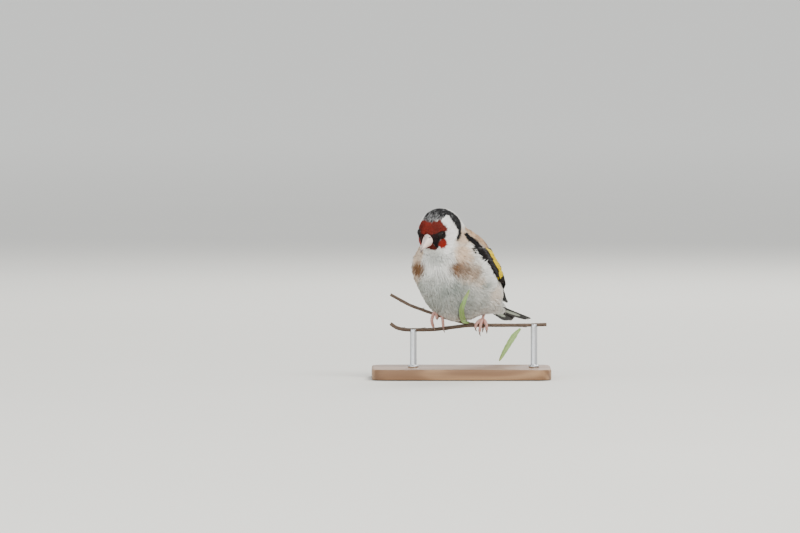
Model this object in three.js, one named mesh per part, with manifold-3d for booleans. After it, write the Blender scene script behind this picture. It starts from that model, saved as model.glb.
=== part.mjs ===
// A European goldfinch at life size, fluffed up and looking down to its right, gripping a forked dry stem
// that two short rods hold over a flat base. Millimetres, +Z up. The bird faces -Y and a little to -X,
// and the origin is the centre of the base's underside.
import * as THREE from "three";
import { mergeVertices } from "three/addons/utils/BufferGeometryUtils.js";
import Module from "manifold-3d";

const wasm = await Module();
wasm.setup();

const GAP = 0.32; // clear space between neighbouring pieces
const SIDES = [
  { name: "left", sign: 1 },
  { name: "right", sign: -1 },
];

// Stand and stem
const BASE = { width: 86, depth: 56, thick: 5, corner: 8, bevel: 0.8 };
const ROD = { radius: 1.6, xs: [-20, 38] };
const PERCH = new THREE.Vector3(-3, -3, 24); // the stem under the bird, seen from the base's centre
const STEM_RADIUS = 0.85;
const TWIG_RADIUS = 0.72;
const STEM_LINE = [
  [-31, -0.4, 2.1], [-28, -0.2, 0.1], [-23.9, 0, -0.8], [-16.5, 0, -0.9], [-10, 0, -0.7],
  [-1.8, 0, 0.2], [6, 0, 1.1], [17.8, 0, 1.3], [32.5, 0.3, 1.3], [44, 0.6, 1.6],
];
const TWIG_LINE = [
  [-31, -4.2, 16.2], [-26.3, -3.8, 13.6], [-21.4, -3.3, 11], [-16.5, -2.8, 9.1], [-11.6, -2.2, 7.3],
  [-6.7, -1.6, 5.7], [-1.8, -1.1, 4.3], [2.1, -0.8, 3.1], [6, -0.5, 2.2], [9, -0.3, 1.9],
];

// The bird: heading of the body and turn of the head, in degrees
const BODY_YAW = 28;
const HEAD_YAW = 33;
const HEAD_PITCH = -31;
const HEAD_ROLL = 6;
const BODY_CENTRE = [0.8, 0, 24.5]; // from PERCH
const HEAD_CENTRE = [-8, -11, 48]; // from PERCH
const HIND_BEND = 0.165; // sideways drift of rump, wing tips and tail for each mm behind HIND_START
const HIND_START = -20;
const BLEND = 1.5; // how softly the lumps of the plumage run together
const GRID = { trunk: 2.8, trunkGap: 2, head: 1.6, headGap: 1.45 }; // cell sizes of the plumage's surfaces
const MARGIN = 2; // room that a surface with a gap needs round the surface without one
const TRUNK_BOX = { low: [-26, -34, 1], high: [33, 46, 63] }; // from PERCH
const HEAD_REACH = 16;

const EYE = { at: [6.8, 5.3, 1.5], radius: 2.1, lid: 0.42 };
const BILL = { base: [7, 0, 0.4], length: 11.8, halfWidth: 3.4, halfHeight: 3.9 };

const TAIL = {
  root: [-29, 0, -12.4], yaw: 23, pitch: 12.3, roll: -6, length: 49, fork: 6, rootHalf: 3.4, tipHalf: 7.6,
  pairs: 6, vane: 5.6, step: 0.22,
};
const WING = {
  wrist: [6, 16.2, 9.4], tip: [-56, 1.3, -12.8], lean: [-0.35, 0.82, 0.45],
  bed: { at: 46, size: [34, 17, 2.5] }, thinFront: 0.5, thinReach: 13,
};

const COLOURS = {
  white: 0xe4e2da, buff: 0xb08a5c, black: 0x17161a, red: 0x9c2418, bill: 0xd9c3ba, eye: 0x0d0a09,
  leg: 0xc79a8a, claw: 0x6f5148, stem: 0x5c4a3a, leaf: 0x6f9a4e, stand: 0x8a6a48, rod: 0xb9bcc0,
};

const rad = THREE.MathUtils.degToRad;
const vec = (x, y, z) => new THREE.Vector3(x, y, z);
const fromPerch = ([x, y, z]) => vec(x, y, z).add(PERCH);

// Forward, left and up axes of something that heads for -Y before it is turned.
function axesOf(yaw, pitch, roll) {
  const ahead = vec(-Math.sin(rad(yaw)), -Math.cos(rad(yaw)), 0);
  const flatLeft = vec(Math.cos(rad(yaw)), -Math.sin(rad(yaw)), 0);
  const forward = ahead.multiplyScalar(Math.cos(rad(pitch))).add(vec(0, 0, Math.sin(rad(pitch))));
  const flatUp = forward.clone().cross(flatLeft);
  const left = flatLeft.clone().multiplyScalar(Math.cos(rad(roll)));
  left.addScaledVector(flatUp, -Math.sin(rad(roll)));
  const up = forward.clone().cross(left);
  return { forward, left, up };
}

// A frame: an origin, its axes and a sideways bend behind HIND_START.
function frameAt(origin, yaw, pitch, roll, bend) {
  const axes = axesOf(yaw, pitch, roll);
  const at = (f, l, u) => {
    const drift = bend && f < HIND_START ? bend * (f - HIND_START) : 0;
    return origin.clone()
      .addScaledVector(axes.forward, f)
      .addScaledVector(axes.left, l + drift)
      .addScaledVector(axes.up, u);
  };
  return { origin, axes, at };
}

const BODY = frameAt(fromPerch(BODY_CENTRE), BODY_YAW, 0, 0, HIND_BEND);
const HEAD = frameAt(fromPerch(HEAD_CENTRE), HEAD_YAW, HEAD_PITCH, HEAD_ROLL, 0);
const TAIL_FRAME = frameAt(BODY.at(...TAIL.root), TAIL.yaw, TAIL.pitch, TAIL.roll, 0);

// One rounded lump of plumage: an ellipsoid in a frame, its nose tipped up by some degrees.
function lump(frame, [f, l, u], size, nose = 0) {
  const { forward, left, up } = frame.axes;
  const tip = rad(nose);
  const along = forward.clone().multiplyScalar(Math.cos(tip)).addScaledVector(up, Math.sin(tip));
  const rise = up.clone().multiplyScalar(Math.cos(tip)).addScaledVector(forward, -Math.sin(tip));
  return { centre: frame.at(f, l, u), axes: [along, left, rise], size };
}

const pair = (frame, [f, l, u], size, nose) => [
  lump(frame, [f, l, u], size, nose),
  lump(frame, [f, -l, u], size, nose),
];

// Forward, left, up place and half sizes of each lump.
const CORE_LUMPS = [
  lump(BODY, [-0.5, 0, -1], [21.5, 17.3, 19.4], 35), // belly
  lump(BODY, [7, 0, 6], [13.5, 15.5, 15.5], 0), // breast
  lump(BODY, [-3, 0, 8.5], [18, 13, 12.5], 38), // back
  lump(BODY, [-20, 0, -4.5], [14, 8.5, 7.5], 24), // rump
  lump(BODY, [-20, 0, -11.5], [14, 7, 6], 14), // vent
  lump(TAIL_FRAME, [-9, 0, 0.3], [17, 4.8, 3.5]), // coverts round the root of the tail
];
const PAD_LUMPS = [
  ...pair(BODY, [-8, 10.6, -6.3], [14, 7.1, 10.3], 24), // flanks
  ...pair(BODY, [0.5, 12, 1.5], [10, 6.9, 8.5]), // sides, over the lower edge of the wing
  ...pair(BODY, [8, 10.3, 5.5], [9, 7.2, 10]), // sides of the breast, over the bend of the wing
  ...pair(BODY, [-3, 8, 10.5], [12, 6.5, 8], 35), // shoulder feathers, over the upper edge of the wings
  lump(BODY, [1, 0, 17], [12, 9.5, 6.5], 40), // mantle
];
const HEAD_LUMPS = [
  lump(HEAD, [0, 0, 0.4], [10.4, 8.9, 8.6]), // skull
  ...pair(HEAD, [1.5, 4.2, -3], [6.6, 4.6, 5.4]), // cheeks
  lump(HEAD, [-4.5, 0, -2.5], [8, 8.4, 8]), // nape
  lump(HEAD, [6.6, 0, -0.6], [4.6, 3.9, 4.4]), // forehead and lores
  lump(HEAD, [5, 0, -4.2], [4.6, 3.6, 3.4]), // chin
  lump(BODY, [9, -1, 14], [11, 10.5, 10], 30), // neck
];

// About how far a point is outside a set of lumps, in mm, less than 0 inside.
function fieldOf(lumps) {
  return (p) => {
    let sum = 0;
    for (const { centre, axes, size } of lumps) {
      const d = [p.x - centre.x, p.y - centre.y, p.z - centre.z];
      let k0 = 0;
      let k1 = 0;
      for (let i = 0; i < 3; i++) {
        const q = d[0] * axes[i].x + d[1] * axes[i].y + d[2] * axes[i].z;
        k0 += (q / size[i]) ** 2;
        k1 += (q / size[i] ** 2) ** 2;
      }
      const far = k1 > 1e-12 ? (Math.sqrt(k0) * (Math.sqrt(k0) - 1)) / Math.sqrt(k1) : -Math.min(...size);
      sum += Math.exp(-far / BLEND);
    }
    return -BLEND * Math.log(sum);
  };
}

const plumage = fieldOf([...CORE_LUMPS, ...PAD_LUMPS, ...HEAD_LUMPS]);

function slopeOf(field, p) {
  const e = 0.05;
  const along = (x, y, z) => field(vec(p.x + x, p.y + y, p.z + z)) - field(vec(p.x - x, p.y - y, p.z - z));
  return vec(along(e, 0, 0), along(0, e, 0), along(0, 0, e)).divideScalar(2 * e);
}

// Closed surface where the field equals level, one vertex in each grid cell that it crosses.
function skinOf(field, level, low, high, step) {
  const size = high.clone().sub(low);
  const n = [size.x, size.y, size.z].map((length) => Math.ceil(length / step) + 1);
  const index = (i, j, k) => (k * n[1] + j) * n[0] + i;
  const corner = (i, j, k) => vec(low.x + i * step, low.y + j * step, low.z + k * step);
  const value = new Float64Array(n[0] * n[1] * n[2]);
  const onEdge = (i, j, k) => !i || !j || !k || i === n[0] - 1 || j === n[1] - 1 || k === n[2] - 1;
  for (let k = 0; k < n[2]; k++)
    for (let j = 0; j < n[1]; j++)
      for (let i = 0; i < n[0]; i++) {
        const outside = field(corner(i, j, k)) - level;
        value[index(i, j, k)] = onEdge(i, j, k) ? Math.max(outside, step) : outside;
      }
  const unit = [[1, 0, 0], [0, 1, 0], [0, 0, 1]];
  const cellVertex = new Int32Array(value.length).fill(-1);
  const vertices = [];
  for (let k = 0; k + 1 < n[2]; k++)
    for (let j = 0; j + 1 < n[1]; j++)
      for (let i = 0; i + 1 < n[0]; i++) {
        const mean = vec(0, 0, 0);
        let crossings = 0;
        for (let axis = 0; axis < 3; axis++)
          for (let side = 0; side < 4; side++) {
            const start = [i, j, k];
            start[(axis + 1) % 3] += side & 1;
            start[(axis + 2) % 3] += side >> 1;
            const end = start.map((s, a) => s + unit[axis][a]);
            const a = value[index(...start)];
            const b = value[index(...end)];
            if (a < 0 === b < 0) continue;
            mean.add(corner(...start).lerp(corner(...end), a / (a - b)));
            crossings++;
          }
        if (!crossings) continue;
        cellVertex[index(i, j, k)] = vertices.length;
        vertices.push(mean.divideScalar(crossings));
        if (onEdge(i, j, k) || onEdge(i + 1, j + 1, k + 1)) continue;
        for (let pass = 0; pass < 3; pass++) {
          const slope = slopeOf(field, mean);
          mean.addScaledVector(slope, (level - field(mean)) / slope.lengthSq());
        }
      }
  const faces = [];
  for (let k = 0; k + 1 < n[2]; k++)
    for (let j = 0; j + 1 < n[1]; j++)
      for (let i = 0; i + 1 < n[0]; i++)
        for (let axis = 0; axis < 3; axis++) {
          const a = value[index(i, j, k)];
          const b = value[index(i + unit[axis][0], j + unit[axis][1], k + unit[axis][2])];
          if (a < 0 === b < 0) continue;
          const [u, v] = [unit[(axis + 1) % 3], unit[(axis + 2) % 3]];
          const cell = (du, dv) =>
            cellVertex[index(i - du * u[0] - dv * v[0], j - du * u[1] - dv * v[1], k - du * u[2] - dv * v[2])];
          const quad = [cell(1, 1), cell(0, 1), cell(0, 0), cell(1, 0)];
          if (a >= 0) quad.reverse();
          const shortFirst =
            vertices[quad[0]].distanceTo(vertices[quad[2]]) < vertices[quad[1]].distanceTo(vertices[quad[3]]);
          const [p, q, r, s] = shortFirst ? quad : [quad[1], quad[2], quad[3], quad[0]];
          faces.push(p, q, r, p, r, s);
        }
  return solidFromLists(vertices, faces);
}

function solidFromLists(vertices, faces) {
  const positions = new Float32Array(vertices.length * 3);
  vertices.forEach((p, i) => positions.set([p.x, p.y, p.z], i * 3));
  return new wasm.Manifold(
    new wasm.Mesh({ numProp: 3, vertProperties: positions, triVerts: new Uint32Array(faces) }),
  );
}

// A three.js geometry as a solid, its shared vertices merged.
function solidFrom(geometry) {
  const loose = geometry.index ? geometry.toNonIndexed() : geometry;
  const bare = new THREE.BufferGeometry().setAttribute("position", loose.getAttribute("position"));
  const merged = mergeVertices(bare, 1e-4);
  return new wasm.Manifold(
    new wasm.Mesh({
      numProp: 3,
      vertProperties: merged.attributes.position.array,
      triVerts: new Uint32Array(merged.index.array),
    }),
  );
}

function geometryFrom(solid) {
  const mesh = solid.getMesh();
  const geometry = new THREE.BufferGeometry();
  const positions = new Float32Array(mesh.numVert * 3);
  for (let i = 0; i < mesh.numVert; i++)
    positions.set(mesh.vertProperties.subarray(i * mesh.numProp, i * mesh.numProp + 3), i * 3);
  geometry.setAttribute("position", new THREE.BufferAttribute(positions, 3));
  geometry.setIndex(new THREE.BufferAttribute(mesh.triVerts, 1));
  const flat = geometry.toNonIndexed();
  flat.computeVertexNormals();
  return flat;
}

const union = (solids) => wasm.Manifold.union(solids);

// The largest closed surface of a solid, so that sealed hollows and loose scraps go.
function largest(solid) {
  return solid.decompose().reduce((best, body) => (body.volume() > best.volume() ? body : best));
}

// The half of space on the far side of a plane, as a big box.
function beyond(point, direction) {
  const reach = 200;
  const box = new THREE.BoxGeometry(reach, reach, reach);
  box.translate(0, 0, reach / 2);
  const turn = new THREE.Quaternion().setFromUnitVectors(vec(0, 0, 1), direction.clone().normalize());
  box.applyQuaternion(turn).translate(point.x, point.y, point.z);
  return solidFrom(box);
}

// A tube along a curve whose two half widths vary from 0 to 1 along it, closed at both ends.
function taperedTube(points, sides, steps, widthAt, upHint) {
  const curve = new THREE.CatmullRomCurve3(points, false, "centripetal");
  const frames = curve.computeFrenetFrames(steps, false);
  const vertices = [];
  const faces = [];
  for (let i = 0; i <= steps; i++) {
    const centre = curve.getPointAt(i / steps);
    const [wide, high] = widthAt(i / steps);
    let across = frames.normals[i];
    let over = frames.binormals[i];
    if (upHint) {
      const tangent = frames.tangents[i];
      over = upHint.clone().addScaledVector(tangent, -upHint.dot(tangent)).normalize();
      across = tangent.clone().cross(over);
    }
    for (let j = 0; j < sides; j++) {
      const angle = (j / sides) * 2 * Math.PI;
      const [c, s] = [wide * Math.cos(angle), high * Math.sin(angle)];
      vertices.push(centre.clone().addScaledVector(across, c).addScaledVector(over, s));
    }
  }
  for (let i = 0; i < steps; i++)
    for (let j = 0; j < sides; j++) {
      const a = i * sides + j;
      const b = i * sides + ((j + 1) % sides);
      faces.push(a, b, b + sides, a, b + sides, a + sides);
    }
  const ends = [vertices.push(curve.getPointAt(0)) - 1, vertices.push(curve.getPointAt(1)) - 1];
  for (let j = 0; j < sides; j++) {
    const next = (j + 1) % sides;
    faces.push(ends[0], next, j);
    faces.push(ends[1], steps * sides + j, steps * sides + next);
  }
  const made = solidFromLists(vertices, faces);
  return made.volume() > 0 ? made : solidFromLists(vertices, faces.reverse());
}

// A thin vane. place(along, across, face) gives a point of its under face (0) or upper face (1), with
// along from 0 at the root to 1 at the tip and across from -1 to 1.
function vane(place, steps, columns) {
  const vertices = [];
  const faces = [];
  const row = columns + 1;
  for (const face of [0, 1])
    for (let i = 0; i <= steps; i++)
      for (let j = 0; j <= columns; j++) vertices.push(place(i / steps, (2 * j) / columns - 1, face));
  const layer = (steps + 1) * row;
  for (let i = 0; i < steps; i++)
    for (let j = 0; j < columns; j++) {
      const a = i * row + j;
      const [b, c, d] = [a + 1, a + row + 1, a + row];
      faces.push(a, b, c, a, c, d);
      faces.push(layer + a, layer + c, layer + b, layer + a, layer + d, layer + c);
    }
  const rim = [];
  for (let j = 0; j < columns; j++) rim.push(j);
  for (let i = 0; i < steps; i++) rim.push(i * row + columns);
  for (let j = columns; j > 0; j--) rim.push(steps * row + j);
  for (let i = steps; i > 0; i--) rim.push(i * row);
  rim.forEach((a, k) => {
    const b = rim[(k + 1) % rim.length];
    faces.push(a, layer + a, layer + b, a, layer + b, b);
  });
  const made = solidFromLists(vertices, faces);
  return made.volume() > 0 ? made : solidFromLists(vertices, faces.reverse());
}

// Plumage of head, neck and trunk, parted by thin flat cuts
const NECK_AXIS = HEAD.origin.clone().sub(BODY.origin).normalize();
const HEAD_CUT = HEAD.at(-1, 0, -7.2);
const NECK_CUT = BODY.at(8, -1, 11.5);
const RUMP_CUT = BODY.at(-17.5, 0, -6);
const RUMP_AXIS = BODY.axes.forward.clone().multiplyScalar(-0.93).addScaledVector(BODY.axes.up, -0.36);
const headAxis = HEAD.axes.up.clone().multiplyScalar(0.75).addScaledVector(NECK_AXIS, 0.55).normalize();

// Surface of all the plumage at some level, within the trunk's box or the head's.
function trunkSkin(level, step) {
  const low = fromPerch(TRUNK_BOX.low).subScalar(MARGIN * Math.sign(level));
  const high = fromPerch(TRUNK_BOX.high).addScalar(MARGIN * Math.sign(level));
  return skinOf(plumage, level, low, high, step);
}

function headSkin(level, step) {
  const half = HEAD_REACH + Math.sign(level);
  return skinOf(plumage, level, HEAD.origin.clone().subScalar(half), HEAD.origin.clone().addScalar(half), step);
}

function trunkSolids(hollows) {
  const whole = trunkSkin(0, GRID.trunk).subtract(hollows);
  const neckTop = HEAD_CUT.clone().addScaledVector(headAxis, -GAP);
  const belowHead = whole.subtract(beyond(neckTop, headAxis));
  const neckFoot = NECK_CUT.clone();
  const neck = largest(belowHead.intersect(beyond(neckFoot, NECK_AXIS)));
  const trunkTop = neckFoot.clone().addScaledVector(NECK_AXIS, -GAP);
  const trunk = belowHead.subtract(beyond(trunkTop, NECK_AXIS));
  const rump = largest(trunk.intersect(beyond(RUMP_CUT, RUMP_AXIS)));
  const torsoEnd = RUMP_CUT.clone().addScaledVector(RUMP_AXIS, -GAP);
  const torso = largest(trunk.subtract(beyond(torsoEnd, RUMP_AXIS)));
  return { neck, torso, rump };
}

function eyeBall(sign, radius) {
  const [f, l, u] = EYE.at;
  const centre = HEAD.at(f, sign * l, u);
  return solidFrom(new THREE.IcosahedronGeometry(radius, 2).translate(centre.x, centre.y, centre.z));
}

// A fleshy ring of lids, seen as an oval from the side.
function lids(sign) {
  const [f, l, u] = EYE.at;
  const ring = new THREE.TorusGeometry(EYE.radius * 0.86, EYE.lid, 7, 20);
  const outward = HEAD.axes.left.clone().multiplyScalar(sign);
  outward.addScaledVector(HEAD.axes.forward, 0.35).normalize();
  ring.applyQuaternion(new THREE.Quaternion().setFromUnitVectors(vec(0, 0, 1), outward));
  const centre = HEAD.at(f, sign * l, u).addScaledVector(outward, EYE.radius * 0.5);
  return solidFrom(ring.translate(centre.x, centre.y, centre.z));
}

function headSolid() {
  const above = largest(headSkin(0, GRID.head).intersect(beyond(HEAD_CUT, headAxis)));
  const lidded = union([above, lids(1), lids(-1)]);
  return largest(lidded.subtract(union([eyeBall(1, EYE.radius + GAP), eyeBall(-1, EYE.radius + GAP)])));
}

// The bill is one cone, cut along the line of the mouth.
function billSolids(headGap) {
  const [f0, , u0] = BILL.base;
  const line = [0, 0.25, 0.5, 0.75, 1].map((t) =>
    HEAD.at(f0 + BILL.length * t, 0, u0 - 0.25 - 0.9 * t * t),
  );
  const taper = (t) => Math.max(0.04, 1 - t ** 1.25);
  const cone = taperedTube(
    line, 16, 12,
    (t) => [BILL.halfWidth * taper(t), BILL.halfHeight * Math.max(0.035, 1 - t ** 1.12)],
    HEAD.axes.up,
  );
  const outside = largest(cone.subtract(headGap));
  const mouth = new THREE.Shape();
  const [start, reach, fall] = [4, BILL.length + 3, 1.35];
  const edge = (x) => -0.55 - fall * ((x - start) / (reach - start)) ** 1.6;
  const xs = [0, 0.2, 0.4, 0.6, 0.8, 1].map((t) => start + t * (reach - start));
  xs.forEach((x, i) => (i ? mouth.lineTo(x, edge(x)) : mouth.moveTo(x, edge(x))));
  xs.slice().reverse().forEach((x) => mouth.lineTo(x, edge(x) - GAP));
  const slab = new THREE.ExtrudeGeometry(mouth, { depth: 12, bevelEnabled: false, steps: 1 });
  slab.translate(0, 0, -6);
  const { forward, left, up } = HEAD.axes;
  const basis = new THREE.Matrix4().makeBasis(forward, up, left.clone().negate());
  const origin = HEAD.at(f0 - 4, 0, u0 - 0.2);
  slab.applyMatrix4(basis).translate(origin.x, origin.y, origin.z);
  const slit = solidFrom(slab);
  const halves = outside.subtract(slit.volume() > 0 ? slit : solidFrom(flipped(slab)));
  const heightOf = (solid) => {
    const box = solid.boundingBox();
    return vec(...box.max).add(vec(...box.min)).multiplyScalar(0.5).sub(HEAD.origin).dot(up);
  };
  const bodies = halves.decompose().sort((a, b) => b.volume() - a.volume()).slice(0, 2);
  bodies.sort((a, b) => heightOf(b) - heightOf(a));
  const nostrils = SIDES.map(({ sign }) => {
    const centre = HEAD.at(f0 + 3.4, sign * 2.2, u0 + 1.9);
    return solidFrom(new THREE.IcosahedronGeometry(0.5, 1).translate(centre.x, centre.y, centre.z));
  });
  return { upper: largest(bodies[0].subtract(union(nostrils))), lower: bodies[1] };
}

function flipped(geometry) {
  const loose = geometry.index ? geometry.toNonIndexed() : geometry.clone();
  const position = loose.attributes.position;
  for (let i = 0; i < position.count; i += 3) {
    const a = vec(0, 0, 0).fromBufferAttribute(position, i + 1);
    const b = vec(0, 0, 0).fromBufferAttribute(position, i + 2);
    position.setXYZ(i + 1, b.x, b.y, b.z);
    position.setXYZ(i + 2, a.x, a.y, a.z);
  }
  return loose;
}

// The folded wing's own chart: along from wrist to tip, across down to the leading edge, which is the lower
// one, and a height over the side of the trunk, which a flat lump carries on behind it.
function wingChart(sign) {
  const wrist = vec(...WING.wrist);
  const run = vec(...WING.tip).sub(wrist);
  const along = run.clone().normalize();
  const lean = vec(...WING.lean);
  const out = lean.addScaledVector(along, -lean.dot(along)).normalize();
  const across = along.clone().cross(out).normalize();
  const place = (s, t, h) => {
    const q = wrist.clone().addScaledVector(along, s).addScaledVector(across, t).addScaledVector(out, h);
    return BODY.at(q.x, sign * q.y, q.z);
  };
  const centre = place(WING.bed.at, 2, -WING.bed.size[2]);
  const axes = [place(60, 2, 0).sub(place(30, 2, 0)), place(45, 12, 0).sub(place(45, 2, 0))];
  axes.push(axes[0].clone().cross(axes[1]));
  axes.forEach((axis) => axis.normalize());
  const bed = fieldOf([...CORE_LUMPS, { centre, axes, size: WING.bed.size }]);
  return (s, t, lift) => {
    const height = lift * (1 - WING.thinFront * Math.exp(-(((s + 4) / WING.thinReach) ** 2)));
    let high = 22;
    while (high > -30 && bed(place(s, t, high)) > height) high -= 0.8;
    let low = high;
    high += 0.8;
    for (let pass = 0; pass < 14; pass++) {
      const middle = (low + high) / 2;
      if (bed(place(s, t, middle)) > height) high = middle;
      else low = middle;
    }
    return place(s, t, low);
  };
}

// Tiers of the folded wing on the chart. Roots and tips run from the leading feather to the trailing one,
// and lift is the height of the tier over the wing bed.
const TIERS = {
  primaries: { count: 7, root: [[14, 7.2], [14, 3]], tip: [[70, 0.6], [53, -2]], ease: 1.5,
    width: 5.4, lift: 0.55, rounding: 0.22, steps: 5 },
  secondaries: { count: 5, root: [[12, 5.4], [10, -0.8]], tip: [[49, 0.2], [44, -3.4]], ease: 1,
    width: 6, lift: 0.85, rounding: 0.25, steps: 4 },
  tertials: { count: 3, root: [[9, 0.2], [6, -3.6]], tip: [[43, -3], [27, -5.4]], ease: 1,
    width: 6.6, lift: 1.2, rounding: 0.4, steps: 3 },
  greaterCoverts: { count: 6, root: [[5, 6.6], [4, -3.6]], tip: [[22, 6.4], [16.5, -4]], ease: 1,
    width: 5, lift: 1.55, rounding: 0.55, steps: 2 },
  medianCoverts: { count: 5, root: [[0, 6], [0, -3]], tip: [[12.5, 6.2], [9.5, -3.4]], ease: 1,
    width: 5.6, lift: 1.95, rounding: 0.7, steps: 2 },
};
const VANE = { thick: 0.55, tilt: 0.3 }; // a feather's leading edge lies over the next one, as roof tiles do

const mix = (a, b, t) => a.map((x, i) => x + (b[i] - x) * t);

// Half width of a feather along its length, as a share: narrower at the root, rounded at the tip.
const outline = (along, rounding) => {
  const inTip = Math.max(0, (along - 1 + rounding) / rounding);
  return Math.min(1, 0.6 + along) * Math.sqrt(Math.max(0.05, 1 - inTip ** 2));
};

function laidVane(chart, tier, root, tip) {
  const run = new THREE.Vector2(tip[0] - root[0], tip[1] - root[1]);
  const side = new THREE.Vector2(-run.y, run.x).normalize();
  return vane((along, across, face) => {
    const half = (tier.width / 2) * outline(along, tier.rounding) * across;
    const s = root[0] + run.x * along + side.x * half;
    const t = root[1] + run.y * along + side.y * half;
    return chart(s, t, GAP + tier.lift + VANE.tilt * across + (face - 0.5) * VANE.thick);
  }, tier.steps, 1);
}

// The flesh and small feathers of the folded arm, under the coverts.
function armSolid(chart) {
  return vane((along, across, face) => {
    const round = Math.sqrt(Math.max(0.04, 1 - (2 * along - 1) ** 2));
    const crown = face * (0.9 + 1.2 * round * (1 - across ** 2));
    return chart(-3.5 + 24 * along, 2 + 7.6 * across * round, GAP + 0.2 + crown);
  }, 6, 4);
}

function wingSolid(sign, trunkGap) {
  const chart = wingChart(sign);
  const feathers = Object.values(TIERS).flatMap((tier) =>
    Array.from({ length: tier.count }, (_, i) => {
      const share = i / (tier.count - 1);
      const root = mix(...tier.root, share);
      const [reach] = mix(...tier.tip, share ** tier.ease);
      return laidVane(chart, tier, root, [reach, mix(...tier.tip, share)[1]]);
    }),
  );
  return largest(union([armSolid(chart), ...feathers]).subtract(trunkGap));
}

// Six feathers a side, fanned a little. The middle pair is shortest, which makes the fork, and lies on top.
function tailSolid(trunkGap) {
  const feathers = SIDES.flatMap(({ sign }) =>
    Array.from({ length: TAIL.pairs }, (_, i) => {
      const share = i / (TAIL.pairs - 1);
      const length = TAIL.length - TAIL.fork * (1 - share) ** 1.2;
      return vane((along, across, face) => {
        const half = (TAIL.vane / 2) * outline(along, 0.14) * across;
        const spread = TAIL.rootHalf + (TAIL.tipHalf - TAIL.rootHalf) * along - TAIL.vane / 2;
        const offset = sign * (0.25 + share * spread) + half;
        const level = TAIL.step * (2.2 - i) + 0.2 * sign * across - 0.5 * (offset / TAIL.tipHalf) ** 2;
        return TAIL_FRAME.at(-length * along, offset, level - 0.1 * sign + (face - 0.5) * VANE.thick);
      }, 5, 1);
    }),
  );
  return largest(union(feathers).subtract(trunkGap));
}

// Legs: places from PERCH. Each toe runs from the foot's joint over the stem, and its claw goes on.
const LEGS = [
  {
    name: "left",
    ankle: [15.4, 7.4, 13.4],
    joint: [13.3, 0.2, 4],
    toes: [
      [[13.3, 0, 4], [11.6, -1.1, 3.4], [10.2, -2, 1.9], [9.8, -1.7, 0.1]],
      [[13.3, -0.1, 4], [12.7, -1.6, 3.2], [12.2, -2.4, 1.1], [11.8, -2, -1.7]],
      [[13.3, 0, 4], [14.4, -1.5, 3.2], [15.1, -2.3, 1.2], [15.2, -1.9, -0.9]],
      [[13.3, 0.4, 4], [13.5, 1.6, 3.4], [13.7, 2.4, 1.6], [13.5, 2, -0.3]],
    ],
    claws: [
      [[9.8, -1.55, -0.25], [10, -1.1, -1], [10.6, -0.2, -1.6]],
      [[11.8, -1.85, -2.05], [11.9, -1.4, -3], [12.3, -0.3, -3.9]],
      [[15.2, -1.75, -1.25], [15.3, -1.3, -2], [15.1, -0.4, -2.7]],
      [[13.45, 1.85, -0.65], [13.3, 1.3, -1.5], [13.1, 0.4, -2.2]],
    ],
  },
  {
    name: "right",
    ankle: [-6.2, 5.5, 16.6],
    joint: [-8.3, -1.2, 8.6],
    toes: [
      [[-8.3, -1.3, 8.6], [-9.7, -2.7, 7.7], [-11, -3.3, 5], [-11, -2.9, 2.4], [-10.4, -2.2, 0.7]],
      [[-8.3, -1.4, 8.6], [-8.7, -2.9, 7.9], [-8.9, -3.5, 6.3], [-8.7, -3.1, 4.8]],
      [[-8.3, -1.3, 8.6], [-7.1, -2.7, 7.6], [-6.1, -3.2, 5], [-5.8, -2.8, 2.4], [-5.6, -2.2, 0.6]],
      [[-8.3, -0.9, 8.6], [-8.2, 0.3, 8], [-8.2, 0.7, 6.5], [-8.2, 0.2, 5]],
    ],
    claws: [
      [[-10.25, -2.1, 0.4], [-10, -1.9, -0.2], [-9.6, -1.7, -1]],
      [[-8.65, -2.95, 4.45], [-8.6, -2.5, 4.1], [-8.5, -1.8, 3.9]],
      [[-5.55, -2.05, 0.25], [-5.4, -1.7, -1], [-4.9, -0.6, -2.2]],
      [[-8.2, 0, 4.7], [-8.2, -0.4, 4.5], [-8.2, -0.9, 4.45]],
    ],
  },
];
const LEAF = { thick: 0.55, curl: 0.35 };
const LEAVES = [
  { rib: [[6.4, -1.6, 2.4], [4.2, -6.5, 3.6], [3.1, -13, 8.2], [3.8, -17.8, 12], [6.8, -21, 19.2]],
    width: 2.6, facing: [0, -1, 0.3] },
  { rib: [[31.4, -0.6, -0.3], [28.6, -1.2, -3.4], [25, -1.4, -9], [21.2, -1.2, -15.8]],
    width: 2.7, facing: [0.3, -0.9, 0.3] },
];
const TOE = { radius: 0.7, tip: 0.56 };
const CLAW = { radius: 0.42, tip: 0.12 };
const SHANK = { radius: 0.68, ankle: 1.1 };

const stemPath = (line) => line.map(fromPerch);

function stemSolid(line, radius, grow = 0) {
  const section = new THREE.Shape().absarc(0, 0, radius + grow, 0, 2 * Math.PI, false);
  const path = new THREE.CatmullRomCurve3(stemPath(line), false, "centripetal");
  const tube = new THREE.ExtrudeGeometry(section, {
    steps: 20, extrudePath: path, bevelEnabled: false, curveSegments: 5,
  });
  const solid = solidFrom(tube);
  return solid.volume() > 0 ? solid : solidFrom(flipped(tube));
}

const round = (radiusAt) => (t) => [radiusAt(t), radiusAt(t)];

function shankSolid(leg, grow) {
  const line = [leg.ankle, mix(leg.ankle, leg.joint, 0.5), leg.joint].map(fromPerch);
  const { radius, ankle } = SHANK;
  return taperedTube(line, 8, 6, round((t) => grow + ankle + (radius - ankle) * Math.min(1, t * 2.4)));
}

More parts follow.
